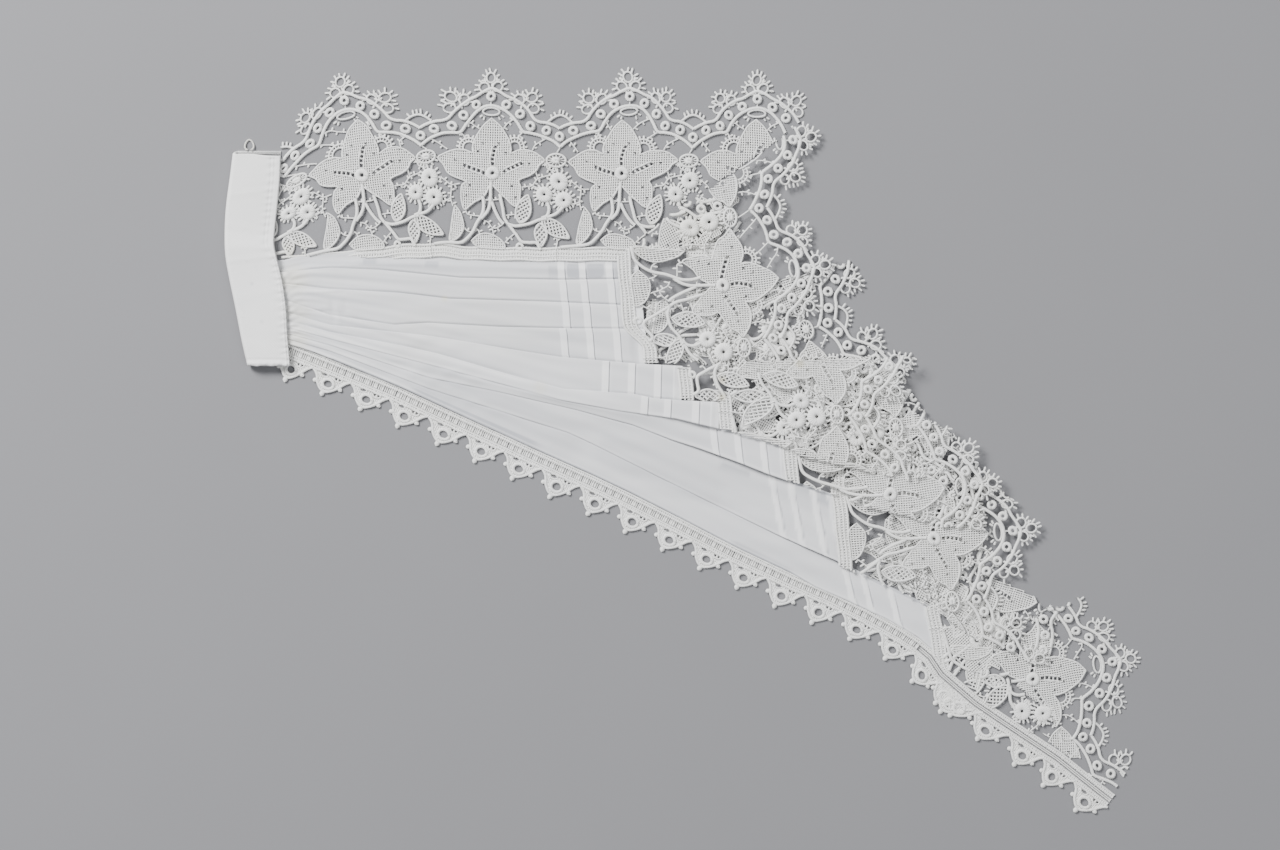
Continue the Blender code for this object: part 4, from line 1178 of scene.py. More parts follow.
class Chart:
    """The lace chart: strokes, small fingers (picots) and padded rings, in squares along and outward."""

    def __init__(self):
        self.strokes, self.fingers, self.pads = [], [], []

    def stroke(self, line, thread, sides=4, closed=False, shift=(0, 0), star=False, step=1.6, waves=0.0):
        """A thread along a smooth line; shift is how much of the scallop's shift each end takes."""
        wide, high, z = thread
        line = np.asarray(line, float)
        fine = line if closed else curve_through(line, step)
        points = np.column_stack([fine, np.full(len(fine), z)])
        width = wide * (1.0 + waves * np.cos(math.pi * np.arange(len(fine))))
        shifts = shift[0] + (shift[1] - shift[0]) * np.linspace(0.0, 1.0, len(fine))
        self.strokes.append((points, width, high, sides, closed, shifts, star))

    def ring(self, x, y, size, thread, sides=6, count=12, shift=0, star=False):
        """A round or oval ring, with its two half sizes."""
        turn = math.tau * np.arange(count) / count
        line = np.stack([x + size[0] * np.cos(turn), y + size[1] * np.sin(turn)], -1)
        self.stroke(line, thread, sides=sides, closed=True, shift=(shift, shift), star=star)

    def picot(self, x, y, way, long=PICOT_LONG, wide=PICOT_WIDE, shift=0):
        """A small finger of thread that stands off at a place."""
        self.fingers.append((x, y, way[0], way[1], long, wide, shift))

    def net(self, outline, down, across, wide, z=NET_HEIGHT, star=True, turn=0.0, holes=()):
        """Crossing threads that fill an outline on a turned grid; the upright ones go over and under."""
        way = heading_to(turn)
        side = np.array([-way[1], way[0]])
        outline = np.asarray(outline, float)
        for first, second, pitch, cross, upright in ((side, way, down, across, True),
                                                     (way, side, across, down, False)):
            low, high = (outline @ second).min(), (outline @ second).max()
            start, end = (outline @ first).min(), (outline @ first).max()
            for number in range(math.ceil(low / pitch), math.floor(high / pitch) + 1):
                run = np.arange(start, end, NET_SAMPLE)
                line = run[:, None] * first + number * pitch * second
                mask = inside(line, outline)
                for x, y, radius in holes:
                    mask &= np.hypot(line[:, 0] - x, line[:, 1] - y) > radius
                for begin, finish in runs_of(mask):
                    if finish - begin < NET_LEAST:
                        continue
                    t0, t1 = run[begin], run[finish - 1]
                    rungs = np.arange(math.ceil(t0 / cross), math.floor(t1 / cross) + 1)
                    if not upright:
                        rungs = rungs[::2]
                    rungs = rungs[(rungs * cross > t0 + NET_END) & (rungs * cross < t1 - NET_END)]
                    t = np.concatenate([[t0], rungs * cross, [t1]])
                    lift = np.full(len(t), z)
                    if upright:
                        lift += NET_UPRIGHT_LIFT
                        lift[1:-1] += NET_OVER * np.where((rungs + number) % 2, 1.0, -NET_UNDER)
                    points = np.column_stack([t[:, None] * first + number * pitch * second, lift])
                    width = np.full(len(t), wide if upright else wide * NET_CROSS_SHARE)
                    self.strokes.append((points, width, NET_HALF_HIGH[0 if upright else 1], 3, False,
                                         np.zeros(len(t)), star))

    def edged(self, outline, thread):
        """A thread round an outline."""
        line = curve_through(list(outline) + [outline[0]], step=2.0)[:-1]
        self.stroke(line, thread, closed=True, star=True)


def heading_to(angle):
    """The way to an angle, as a step of one square."""
    return np.array([math.cos(angle), math.sin(angle)])


def both_sides(line):
    """A line that starts in the middle of the repeat, carried on to its mirror image."""
    return [(-along, out) for along, out in reversed(line[1:])] + list(line)


def leaf_outline(base, tip, width):
    """The outline of a leaf that is widest past its middle."""
    base, tip = np.array(base, float), np.array(tip, float)
    way = tip - base
    beside = np.array([-way[1], way[0]]) / np.linalg.norm(way)
    share = np.linspace(0.0, 1.0, 11)
    bulge = 0.5 * width * np.sin(math.pi * share ** 0.85) ** 0.8
    right = base + share[:, None] * way + bulge[:, None] * beside
    left = base + share[:, None] * way - bulge[:, None] * beside
    return np.vstack([right, left[::-1][1:-1]])


def trefoil(chart, foot, loops):
    """Three small loops on the outer cord, with picots all round them."""
    foot = np.array(foot, float)
    heart = np.mean(np.array(loops), axis=0) * TREFOIL_HEART + foot * (1.0 - TREFOIL_HEART)
    upward = foot * [1.0 if foot[0] == 0 else TREFOIL_SIDE, 1.0]
    for index, (x, y) in enumerate(loops):
        way = np.array([x, y]) - foot
        way = way / np.linalg.norm(way)
        turn = math.tau * np.arange(TREFOIL_POINTS) / TREFOIL_POINTS
        along, across = TREFOIL_LOOP[0] * np.cos(turn), TREFOIL_LOOP[1] * np.sin(turn)
        line = np.stack([x + along * way[0] - across * way[1], y + along * way[1] + across * way[0]], -1)
        chart.stroke(line, TREFOIL_THREAD, closed=True, shift=(1, 1))
        others = [loop for loop in loops if loop != (x, y)]
        for angle in math.tau * (np.arange(TREFOIL_PICOTS) + TREFOIL_PICOTS_TURN * index) / TREFOIL_PICOTS:
            radial = heading_to(angle)
            spot = np.array([x, y]) + TREFOIL_PICOTS_AT * radial
            out = (spot - heart) / np.linalg.norm(spot - heart)
            free = all(math.dist(spot, other) > TREFOIL_CLEAR for other in others)
            if free and np.dot(spot - foot, upward) > TREFOIL_OPEN:
                way_out = (out + radial) / np.linalg.norm(out + radial)
                chart.picot(*spot, way_out, long=TREFOIL_PICOT_LONG, shift=1)


def scalloped_edge(chart):
    """The two cords of the scallops, with the rings between them and all that hangs on them."""
    chart.stroke(both_sides(OUTER_CORD), OUTER_THREAD, sides=6, shift=(1, 1), waves=CORD_WAVES)
    chart.stroke(both_sides(INNER_CORD), INNER_THREAD, sides=6, shift=(1, 1), waves=CORD_WAVES)
    chart.stroke(VALLEY_LENS, LENS_THREAD, shift=(1, 1))
    for along, out, lean in VALLEY_PICOTS:
        chart.picot(along, out, (math.sin(lean), math.cos(lean)), shift=1)
    for along, out in RING_CHAIN:
        for side in ((1,) if along in (0, REPEAT_HALF) else (1, -1)):
            chart.ring(side * along, out, (RING_MIDDLE, RING_MIDDLE), CHAIN_THREAD, shift=1)
    for foot, loops in TREFOILS:
        trefoil(chart, foot, loops)


def star_flower(chart):
    """The woven star with its pierced petals and ribs, its leaves, and the stems that hold them."""
    holes = [(x, y, RIB_HOLE) for rib in MIDRIBS for x, y in rib]
    holes += [(x, y, EYELET_HOLE) for x, y in EYELETS] + [(0, 0, CENTRE_HOLE)]
    chart.net(STAR, NET_DOWN, NET_ACROSS, wide=0.74, holes=holes)
    chart.edged(STAR, STAR_THREAD)
    for rib in MIDRIBS:
        rib = np.array(rib, float)
        way = (rib[-1] - rib[0]) / np.linalg.norm(rib[-1] - rib[0])
        beside = np.array([-way[1], way[0]])
        for side in (RIB_BESIDE, -RIB_BESIDE):
            chart.stroke(rib + beside * side, RIB_THREAD, star=True)
        for before, after in zip(rib, rib[1:]):
            middle = (before + after) / 2
            chart.stroke((middle - beside * RUNG_HALF, middle + beside * RUNG_HALF), RUNG_THREAD, star=True)
    chart.ring(0, 0, (STAR_CENTRE, STAR_CENTRE), CENTRE_THREAD, count=16, star=True)
    for outline in (LEAF_D, LEAF_E):
        chart.net(outline, NET_DOWN, NET_ACROSS, wide=0.78)
        chart.edged(outline, LEAF_THREAD)
    for base, tip, width in OPEN_LEAVES:
        outline = leaf_outline(base, tip, width)
        turn = math.atan2(tip[1] - base[1], tip[0] - base[0]) + math.pi / 4
        chart.net(outline, 3.3, 3.3, wide=0.95, turn=turn)
        chart.edged(outline, OPEN_LEAF_THREAD)
    for line in STEMS:
        chart.stroke(line, STEM_THREAD, sides=6, star=True)


def bars_with_picots(chart):
    """The thin bars of the ground, with a picot to each side in turn."""
    rng = random.Random(41)
    for line, ends in BARS + tuple((still, (0, 0)) for still in STILL_BARS):
        chart.stroke(line, BAR_THREAD, shift=ends, step=1.8)
        fine = curve_through(line, step=1.0)
        for index in range(2, len(fine) - 2, BAR_PICOTS_APART):
            way = fine[index + 1] - fine[index - 1]
            way = way / np.linalg.norm(way)
            side = 1 if (index // BAR_PICOTS_APART) % 2 else -1
            shift = ends[0] + (ends[1] - ends[0]) * index / (len(fine) - 1)
            lean = BAR_PICOT_LEAN * rng.uniform(-1, 1)
            out = (-way[1] * side + way[0] * lean, way[0] * side + way[1] * lean)
            chart.picot(*fine[index], out, long=3.5, wide=1.05, shift=shift)
    for line, ends in PLAIN_BARS:
        chart.stroke(line, PLAIN_BAR_THREAD, shift=ends)


def small_figures(chart):
    """The lens at the scallop's tip, the fans between the petals, and the spoked oval between two flowers."""
    along, out, *size = TIP_LENS
    chart.ring(along, out, size, TIP_THREAD, sides=4, count=16, shift=1)
    for along, out, lean in TIP_PICOTS:
        chart.picot(along, out, (lean, -math.sqrt(1 - lean * lean)), long=3.6, shift=1)
    for side in (-1, 1):
        middle = np.array([side * FAN_MIDDLE[0], FAN_MIDDLE[1]])
        turn = np.radians(np.linspace(*FAN_TURN, FAN_POINTS))
        for radius, thread in FAN_RADII:
            chart.stroke(middle + radius * np.stack([side * np.cos(turn), np.sin(turn)], -1), thread)
        for angle in np.radians(np.arange(*FAN_SPOKES)):
            way = np.array([side * math.cos(angle), math.sin(angle)])
            chart.stroke([middle + reach * way for reach in FAN_SPOKE], FAN_SPOKE_THREAD)
            chart.picot(*(middle + FAN_PICOTS_AT * way), way, long=3.6)
    along, out, wide, tall = OVAL
    middle, size = np.array([along, out]), np.array([wide, tall])
    chart.ring(along, out, size, OVAL_THREAD, sides=4, count=20)
    chart.ring(along, out, OVAL_MIDDLE, OVAL_MIDDLE_THREAD, sides=4, count=12)
    for angle in np.arange(0, math.tau, math.tau / OVAL_SPOKES):
        way = heading_to(angle)
        spoke = (middle + way * OVAL_SPOKES_FROM, middle + way * (size - OVAL_SPOKES_IN))
        chart.stroke(spoke, OVAL_SPOKE_THREAD)
        if way[1] < OVAL_PICOTS_BELOW:
            chart.picot(*(middle + way * (size + OVAL_PICOTS_PAST)), way, long=3.4)
    along, out, radius = SMALL_RING
    chart.ring(along, out, (radius, radius), SMALL_RING_THREAD, count=10)


def lace_chart():
    """One repeat of the lace, from its scalloped edge to the heading that is sewn to the lawn."""
    chart = Chart()
    scalloped_edge(chart)
    star_flower(chart)
    for along, out, radius in PADDED_RINGS:
        chart.pads.append((along, out, radius))
        for angle in np.arange(0, math.tau, math.tau / PAD_PICOTS):
            spot = np.array([along, out]) + (radius - PAD_PICOTS_IN) * heading_to(angle)
            if all(math.dist(spot, ring[:2]) > ring[2] for ring in PADDED_RINGS if ring[:2] != (along, out)):
                chart.picot(*spot, heading_to(angle), long=4.4)
    bars_with_picots(chart)
    small_figures(chart)
    for out in (HEADING_OUT, HEADING_IN):
        chart.stroke(((-REPEAT_HALF, out), (REPEAT_HALF, out)), HEADING_THREAD, step=2.0, waves=HEADING_WAVES)
    heading = ((-REPEAT_HALF, HEADING_IN), (REPEAT_HALF, HEADING_IN), (REPEAT_HALF, HEADING_OUT),
               (-REPEAT_HALF, HEADING_OUT))
    chart.net(heading, 2.7, 2.2, wide=1.0, z=LOW_NET_HEIGHT, star=False)
    for out in HEADING_LINES:
        chart.stroke(((-REPEAT_HALF, out), (REPEAT_HALF, out)), HEADING_LINE_THREAD, step=2.5)
    return chart


LACE_CHART = lace_chart()


# How uneven the handwork is: waves that move a place across and down the sheet, in squares, and up, in mm
WANDER = (((0.55, 0.071, 0.043, 1.0), (0.4, -0.06, 0.15, 2.0)),
          ((0.55, -0.039, 0.067, 1.7), (0.4, 0.16, 0.05, 1.0)),
          ((0.10, 0.09, 0.11, 3.0), (0.06, 0.21, -0.17, 0.0)))
PULLED_OVER = (-30.0, -74.0)
# Near the neckband the lace sinks towards its seam, and at the top of the first hem it moves inward
BAND_EASE = 22.0
BAND_EASE_ACROSS = (350.0, 283.0)
BAND_EASE_DOWN = (256.3, 146.3)
BAND_EASE_POWER = 1.5
HEM_EASE = 16.0
HEM_EASE_ACROSS = (694.0, 648.0)
HEM_EASE_DOWN = (350.0, 324.0)
PICOT_LEAN = 0.25
PICOT_UNEVEN = (0.85, 1.12)
PICOT_DROOPS = 0.1
PICOT_LEAST = 0.26
# A picot from foot to tip: share of its length, share of its half width, and half height in mm
PICOT_SHAPE = ((0.0, 0.85, 0.24), (0.35, 0.9, 0.24), (0.75, 1.05, 0.24), (1.0, 0.6, 0.12))
# A padded ring from its foot over its dome to its pinhole: share of its radius, and of its height
PAD_TURNS = 36
PAD_ROWS = ((1.0, 0.12), (0.97, 0.42), (0.86, 0.72), (0.68, 0.92), (0.48, 0.95), (0.3, 0.78), (0.18, 0.45),
            (0.16, 0.1))
PAD_FOOT = 0.2
PAD_HIGH = 0.95
PAD_STITCH = 0.05
PAD_UNEVEN = 0.03
PAD_PINHOLE = 0.3
PAD_FLOOR = 0.1


def wander(points, phase):
    """Handwork is never quite even: small smooth moves of places on the sheet."""
    moved = points.copy()
    for axis, rows in enumerate(WANDER):
        moved[:, axis] += sum(wave(points[:, 0], points[:, 1], *row, phase) for row in rows)
    return moved


class Length:
    """One length of lace on the sheet: where its flowers are, its level, its shifts and its region."""

    def __init__(self, flowers, level, region, shifts=None, ease=None, pull=0.0, squash=1.0):
        self.flowers, self.level, self.region = flowers, level, region
        self.shifts = np.array(shifts if shifts else [(0, 0)] * len(flowers), float)
        self.ease, self.pull, self.squash = ease, pull, squash
        self.phase = 0.7 * level + 0.013 * flowers[0][0]

    def frame(self, index, along, out):
        """Places along and outward from one flower, as places on the sheet."""
        x, y, turn = self.flowers[index]
        turn = math.radians(turn)
        outward = np.array([math.cos(turn), -math.sin(turn)])
        onward = np.array([-outward[1], outward[0]])
        return np.array([x, y]) + out[:, None] * outward + along[:, None] * onward

    def place(self, index, points, shifts):
        """Chart places of one repeat on the sheet; halfway to the next flower the two repeats agree."""
        along, out = points[:, 0].copy(), points[:, 1].copy()
        share = 0.5 * ramp(np.abs(along), FLOWER_ALONE, REPEAT_HALF)
        other = np.clip(np.where(along > 0, index + 1, index - 1), 0, len(self.flowers) - 1)
        move = self.shifts[index] + (self.shifts[other] - self.shifts[index]) * share[:, None]
        along += move[:, 0] * shifts
        out += move[:, 1] * shifts - self.pull * ramp(out, *PULLED_OVER)
        result = self.frame(index, along, out)
        for side, neighbour in ((1, index + 1), (-1, index - 1)):
            chosen = np.sign(points[:, 0]) == side
            if not 0 <= neighbour < len(self.flowers) or not chosen.any():
                continue
            pitch = math.dist(self.flowers[index][:2], self.flowers[neighbour][:2])
            grow = (pitch / 2 - REPEAT_HALF) * 2 * share[chosen] * side
            mine = self.frame(index, along[chosen] + grow, out[chosen])
            theirs = self.frame(neighbour, along[chosen] + grow - side * pitch, out[chosen])
            result[chosen] = mine + (theirs - mine) * share[chosen][:, None]
        if self.ease == "band":
            (start, end), (foot, top) = BAND_EASE_ACROSS, BAND_EASE_DOWN
            beside = np.clip((result[:, 0] - start) / (end - start), 0.0, 1.0)
            above = np.clip((result[:, 1] - foot) / (top - foot), 0.0, 1.0)
            result[:, 1] += BAND_EASE * beside ** BAND_EASE_POWER * above
        elif self.ease == "hem":
            above = ramp(result[:, 1], *HEM_EASE_DOWN)
            result[:, 0] -= HEM_EASE * ramp(result[:, 0], *HEM_EASE_ACROSS) * above
        return result


def lay_thread(work, laid, width, high, sides, closed, region):
    """A thread of the lace, cut off at the region's line and rolling down beside it."""
    mask = inside(laid, region)
    if not mask.any():
        return
    laid[:, 2] -= ROLL_DOWN * np.clip(1.0 - from_edge(laid, region) / ROLL_REACH, 0.0, 1.0) ** 2
    laid[:, 2] = np.maximum(laid[:, 2], high + OFF_TABLE)
    if mask.all():
        work.tubes(laid[None], width[None], high, sides=sides, closed=closed)
        return
    if closed:
        first = int(np.argmin(mask))
        laid, width, mask = np.roll(laid, -first, 0), np.roll(width, -first), np.roll(mask, -first)
    for begin, finish in runs_of(mask):
        if finish - begin > 1:
            work.tubes(laid[None, begin:finish], width[None, begin:finish], high, sides=sides)


def lay_picots(work, length, index, low, region, rng):
    """The picots of one repeat, each with its own lean and length."""
    fingers = np.array(LACE_CHART.fingers, float)
    jitter = np.array([(rng.uniform(-PICOT_LEAN, PICOT_LEAN), rng.uniform(*PICOT_UNEVEN)) for _ in fingers])
    way = fingers[:, 2:4] / np.linalg.norm(fingers[:, 2:4], axis=1, keepdims=True)
    way = way + jitter[:, :1] * np.stack([-way[:, 1], way[:, 0]], -1)
    shares, widths, heights = np.array(PICOT_SHAPE).T
    rows = []
    for share in shares:
        reach = fingers[:, 4] * jitter[:, 1] * share
        spot = length.place(index, fingers[:, :2] + way * reach[:, None], fingers[:, 6])
        height = length.squash * PICOT_HEIGHT - PICOT_DROOPS * share + low
        rows.append(np.column_stack([spot, np.full(len(spot), height)]))
    laid = np.stack(rows, 1)
    flat = wander(laid.reshape(-1, 3), length.phase)
    flat[:, 2] = np.maximum(flat[:, 2], PICOT_LEAST)
    keep = inside(flat, region).reshape(len(fingers), -1).all(1)
    wide = fingers[:, 5][:, None] * widths
    work.tubes(flat.reshape(laid.shape)[keep], wide[keep], heights)


def padded_ring(work, length, index, pad, low, region):
    """A ring of buttonhole stitches over a padding of threads: a domed ring with a pinhole."""
    along, out, radius = pad
    turn = math.tau * np.arange(PAD_TURNS) / PAD_TURNS
    rows = []
    for share, height in PAD_ROWS:
        uneven = PAD_UNEVEN * np.sin(3 * turn)
        if share > PAD_PINHOLE:
            uneven = uneven + PAD_STITCH * np.cos(turn * PAD_TURNS / 2)
        spot = np.column_stack([along + radius * share * np.cos(turn), out + radius * share * np.sin(turn)])
        high = length.squash * (PAD_FOOT + PAD_HIGH * height + uneven) + low
        rows.append(np.column_stack([length.place(index, spot, np.zeros(PAD_TURNS)), high]))
    laid = np.array(rows)
    flat = wander(laid.reshape(-1, 3), length.phase)
    if not inside(flat, region).all():
        return
    laid = flat.reshape(laid.shape)
    floor = laid[::len(PAD_ROWS) - 1].copy()
    floor[..., 2] = low + PAD_FLOOR
    points = np.concatenate([laid, floor[::-1]])
    thread = np.zeros(points.shape)
    thread[..., 0] = (turn * radius * 0.5 * SQUARE)[None]
    quads = grid_faces(len(points) + 1, PAD_TURNS, closed=True) % (len(points) * PAD_TURNS)
    work.add(points, thread, [quads])


def crochet(work, length, raised=()):
    """Work every repeat of a length of lace, cut off at its region; raised flowers stand above the ground."""
    low = length.level * LEVEL + FLOOR_GAP
    region = np.array(length.region, float)
    rng = random.Random(int(length.phase * 1000) + 7)
    for index in range(len(length.flowers)):
        lift = RAISED if index in raised else 0.0
        for points, width, high, sides, closed, shifts, star in LACE_CHART.strokes:
            sewn = HEADING_LIFT * ramp(points[:, 1], *HEADING_LIFTS_OVER)
            height = length.squash * points[:, 2] + low + (lift if star else 0.0) + sewn
            laid = wander(np.column_stack([length.place(index, points, shifts), height]), length.phase)
            lay_thread(work, laid, width, high, sides, closed, region)
        lay_picots(work, length, index, low, region, rng)
        for pad in LACE_CHART.pads:
            padded_ring(work, length, index, pad, low + lift, region)


MITRE = ((640, 240), (668, 216), (700, 195), (735, 172), (768, 148), (800, 122))
BAND_SIDE = ((278.5, 60), (280.0, 156), (278.0, 190), (275.0, 220), (273.0, 250), (274, 258.0))
SQUASHED = 0.5
EASED = {"lace_top": "band", "lace_pleat_1": "hem"}
PULLED = {"lace_pleat_3": 6.0, "lace_pleat_4": 17.0, "lace_pleat_5": 15.0, "lace_pleat_6": 10.0,
          "lace_pleat_7": 7.0}
LACE_LENGTHS = (
    # name, flowers (x, y, turn of the outward way), scallop shifts, level, raised flowers, region
    ("lace_top", ((234, 188.5, 96), (363, 175, 96), (492, 173.5, 90), (622, 174.5, 90), (755, 175, 88)),
     ((-11, 0), (-11, 0), (0, 0), (7, 2), (0, 0)), 0, (1, 2, 3),
     BAND_SIDE + ((330, 256.5), (400, 259.0), (520, 262.5), (640, 263.5)) + MITRE + ((830, 60),)),
    ("lace_pleat_1", ((709, 155, 6), (723, 285, 6), (737, 415, 6)), ((-6, 9), (-8, 9), (-6, 9)), 1, (0, 1),
     MITRE + ((880, 60), (900, 300), (860, 368), (700, 366), (690, 364), (636, 364), (610, 330), (610, 259))),
    ("lace_pleat_2", ((771, 273, 20), (816, 396, 20)), ((0, 0), (0, 0)), 0.25, (),
     ((655, 300), (700, 288), (770, 283), (850, 260), (970, 330), (960, 390), (880, 400), (790, 392),
      (735, 374), (690, 366), (650, 362))),
    ("lace_pleat_3", ((771, 350, -2), (776, 480, -2)), ((0, 0), (0, 0)), 2, (),
     ((675.5, 366.5), (790, 359), (860, 370), (850, 412), (736, 402.5), (675.0, 400))),
    ("lace_pleat_4", ((820, 350, -2), (824.5, 480.5, -2)), ((0, 0), (0, 0)), 3, (0, 1),
     ((713.5, 403.5), (745, 384), (762, 368), (790, 360), (905, 356), (960, 370), (960, 470), (905, 480),
      (850, 468), (805, 458), (765, 441.5), (728, 431), (711, 427))),
    ("lace_pleat_5", ((875, 364, 6), (889, 494, 6)), ((0, 8), (0, 8)), 2, (1,),
     ((777, 450), (800, 425), (808, 400), (850, 385), (905, 392), (930, 420), (948, 425), (1060, 425),
      (1060, 560), (968, 530), (952, 527), (938, 528), (903, 515), (877, 511), (805, 486), (788, 481),
      (773, 476))),
    ("lace_pleat_6", ((922, 408, 5), (933, 538, 5), (944, 668, 5)), ((0, 3), (0, 3), (0, 0)), 1, (1,),
     ((824, 496), (838, 470), (843, 430), (900, 405), (950, 430), (975, 460), (1013, 500), (1100, 470),
      (1100, 565), (1004, 580), (1010, 600), (1030, 611), (1066, 625), (1066, 664), (1034, 665), (1019, 658),
      (1001, 646), (983, 645), (925, 605), (866, 576.5), (838, 566), (828, 561))),
    ("lace_pleat_7", ((992, 421, 9), (1012, 550, 9), (1032, 679, 9), (1052, 808, 9)),
     ((0, 0), (0, 0), (-4, 5), (4, 5)), 0, (2,),
     ((918, 603), (925, 606), (950, 590), (985, 612), (1036, 616), (1046, 603), (1062, 607), (1080, 595),
      (1170, 595), (1170, 742), (1134, 748), (1131, 768), (1119, 783), (1111, 797), (1100, 786), (1066, 758),
      (1058, 735), (1048, 712), (1020, 690), (1006, 678), (985, 668), (960, 672), (946, 671), (933, 655),
      (926, 648))),
)
# Turns of the same lace that the folded pleats carry over or under the lengths beside them, pressed flat
FOLDED_TURNS = (
    # name, flowers, level, region
    ("lace_pleat_1", ((755, 175, 88),), 0.0,
     ((648, 234), (690, 206), (733, 178), (742, 205), (738, 262), (640, 260))),
    ("lace_pleat_1", ((690, 268, 118),), 1.0,
     ((644, 238), (668, 214), (702, 193), (724, 190), (722, 236), (690, 250), (640, 262))),
    ("lace_pleat_1", ((728, 330, -8), (746, 460, -8)), 0.0,
     ((646, 300), (700, 296), (735, 330), (770, 345), (800, 350), (820, 372), (800, 385), (690, 362),
      (644, 360))),
    ("lace_pleat_4", ((745, 430, 60),), 1.6,
     ((676, 368), (760, 362), (800, 372), (800, 410), (770, 440), (734, 431), (732, 403), (682, 400))),
    ("lace_pleat_4", ((792, 372, 14), (823, 498, 14)), 2.0,
     ((762, 388), (800, 372), (860, 365), (905, 380), (925, 410), (890, 420), (850, 436), (795, 454),
      (742, 436), (738, 408))),
    ("lace_pleat_4", ((850, 402, 30), (900, 520, 30)), 0.9,
     ((760, 400), (860, 350), (900, 372), (930, 420), (900, 440), (850, 470), (800, 456))),
    ("lace_pleat_5", ((877, 506, 8),), 1.5,
     ((838, 500), (846, 470), (880, 440), (930, 440), (955, 480), (952, 520), (937, 529), (903, 514),
      (877, 508))),
    ("lace_pleat_5", ((902, 470, -6), (915, 600, -6)), 0.5,
     ((812, 470), (860, 440), (930, 440), (985, 480), (1000, 540), (944, 536), (903, 515), (877, 508))),
    ("lace_pleat_6", ((905, 560, 24), (958, 678, 24)), 0.0,
     ((850, 520), (900, 505), (960, 510), (1010, 540), (1012, 600), (1000, 640), (925, 602), (866, 574))),
    ("lace_pleat_6", ((930, 612, -30),), 0.4,
     ((866, 576), (905, 560), (965, 585), (1002, 616), (1040, 628), (1060, 655), (1034, 662), (1019, 655),
      (983, 642), (925, 603))),
    ("lace_pleat_7", ((976, 640, 42),), 0.2,
     ((936, 620), (950, 606), (985, 616), (1004, 640), (1000, 664), (1004, 694), (990, 700), (978, 697),
      (950, 672), (938, 655))),
    ("lace_pleat_7", ((984, 587, -16),), 0.6,
     ((985, 573), (1036, 597), (1046, 604), (1041, 616), (1010, 622), (985, 610))),
    ("lace_pleat_7", ((985.5, 602, 21.5),), 0.5,
     ((1034, 618), (1042, 606), (1056, 607), (1060, 622), (1057, 640), (1054, 664), (1032, 662),
      (1033, 640))),
    ("lace_pleat_7", ((1064, 660.4, 0),), 0.3,
     ((1030, 712), (1036, 702), (1046, 700), (1055, 706), (1057, 716), (1053, 725), (1043, 727),
      (1033, 724))),
    ("lace_pleat_7", ((1061, 782, 90),), 0.1,
     ((1040, 735), (1050, 726), (1060, 722), (1070, 732), (1078, 744), (1082, 760), (1066, 757),
      (1050, 744))),
    ("lace_pleat_7", ((1063, 646, -12),), 0.35,
     ((972, 672), (985, 667), (1006, 676), (1020, 688), (1048, 710), (1056, 733), (1056, 748), (1030, 733.8),
      (1000, 713.8), (978, 698.8))),
)
lace_thread = thread_finish("crochet cotton", LACE_WHITE, LACE_AGED, amount=0.55, strands=2.2, depth=0.00015,
                            stains=LACE_STAINS)
for name, flowers, shifts, level, raised, region in LACE_LENGTHS:
    work = Work()
    crochet(work, Length(flowers, level, region, shifts, EASED.get(name), PULLED.get(name, 0.0)), raised)
    for owner, turn_flowers, turn_level, turn_region in FOLDED_TURNS:
        if owner == name:
            crochet(work, Length(turn_flowers, turn_level, turn_region, squash=SQUASHED))
    piece = work.piece(name + "_crochet", lace_thread, name)
    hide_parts(name)

# The narrow edging along the panel's long side is close crochet in the same cotton: a ribbed heading, and a
# row of small points with one round eyelet, two slits and blob picots each. It is sewn flat against the hem.

EDGING_LINE = ((281, 339.5), (291, 342), (300, 346), (315, 352), (345, 364), (372, 375), (400, 386.5),
               (430, 400.5), (470, 419), (500, 432.6), (545, 453.3), (591, 473.8), (630, 492.3), (681, 518),
               (737, 547), (795, 574.3), (833, 590.5), (869, 608.2), (903.7, 627.6), (921, 639), (936, 652),
               (947.5, 669), (980, 697), (1002, 712), (1032, 732), (1062, 752), (1102, 784), (1115, 794))
EDGING_GAP = 0.9
HEADING_DEEP = 14.6
# The heading's lengthwise threads: out from the sewing line, half width in squares and height in mm
HEADING_CORDS = ((0.6, 1.1, 0.5), (3.2, 1.0, 0.46), (11.2, 1.05, 0.46), (14.0, 1.25, 0.5))
HEADING_CORD_HIGH = 0.3
RIB_STEP = 2.2
RIB_START = 1.2
RIB_UNEVEN = 0.25
RIB_SLANT = 0.3
INNER_RIB = (0.4, 2.4)
OUTER_RIB = (12.0, 14.2)
LADDER = (4.6, 9.8)
LADDER_STEP = 8.9
LADDER_HOLE = 4.6
LADDER_ENDS = (925, 641)
PRESSED_LINES = (6.3, 8.1)
PRESSED_THREAD = (0.72, 0.24, 0.40)
RIB_STITCH = (1.0, 0.26, 0.42)
RUNG_STITCH = (1.1, 0.3, 0.44)
HOLE_STITCH = (0.72, 0.2, 0.28)
POINT_THREAD = (1.35, 0.36, 0.48)
EYELET_THREAD = (1.7, 0.42, 0.52)
SLIT_ARCH = (0.95, 0.3, 0.50)
SLIT_SILL = (0.95, 0.28, 0.48)
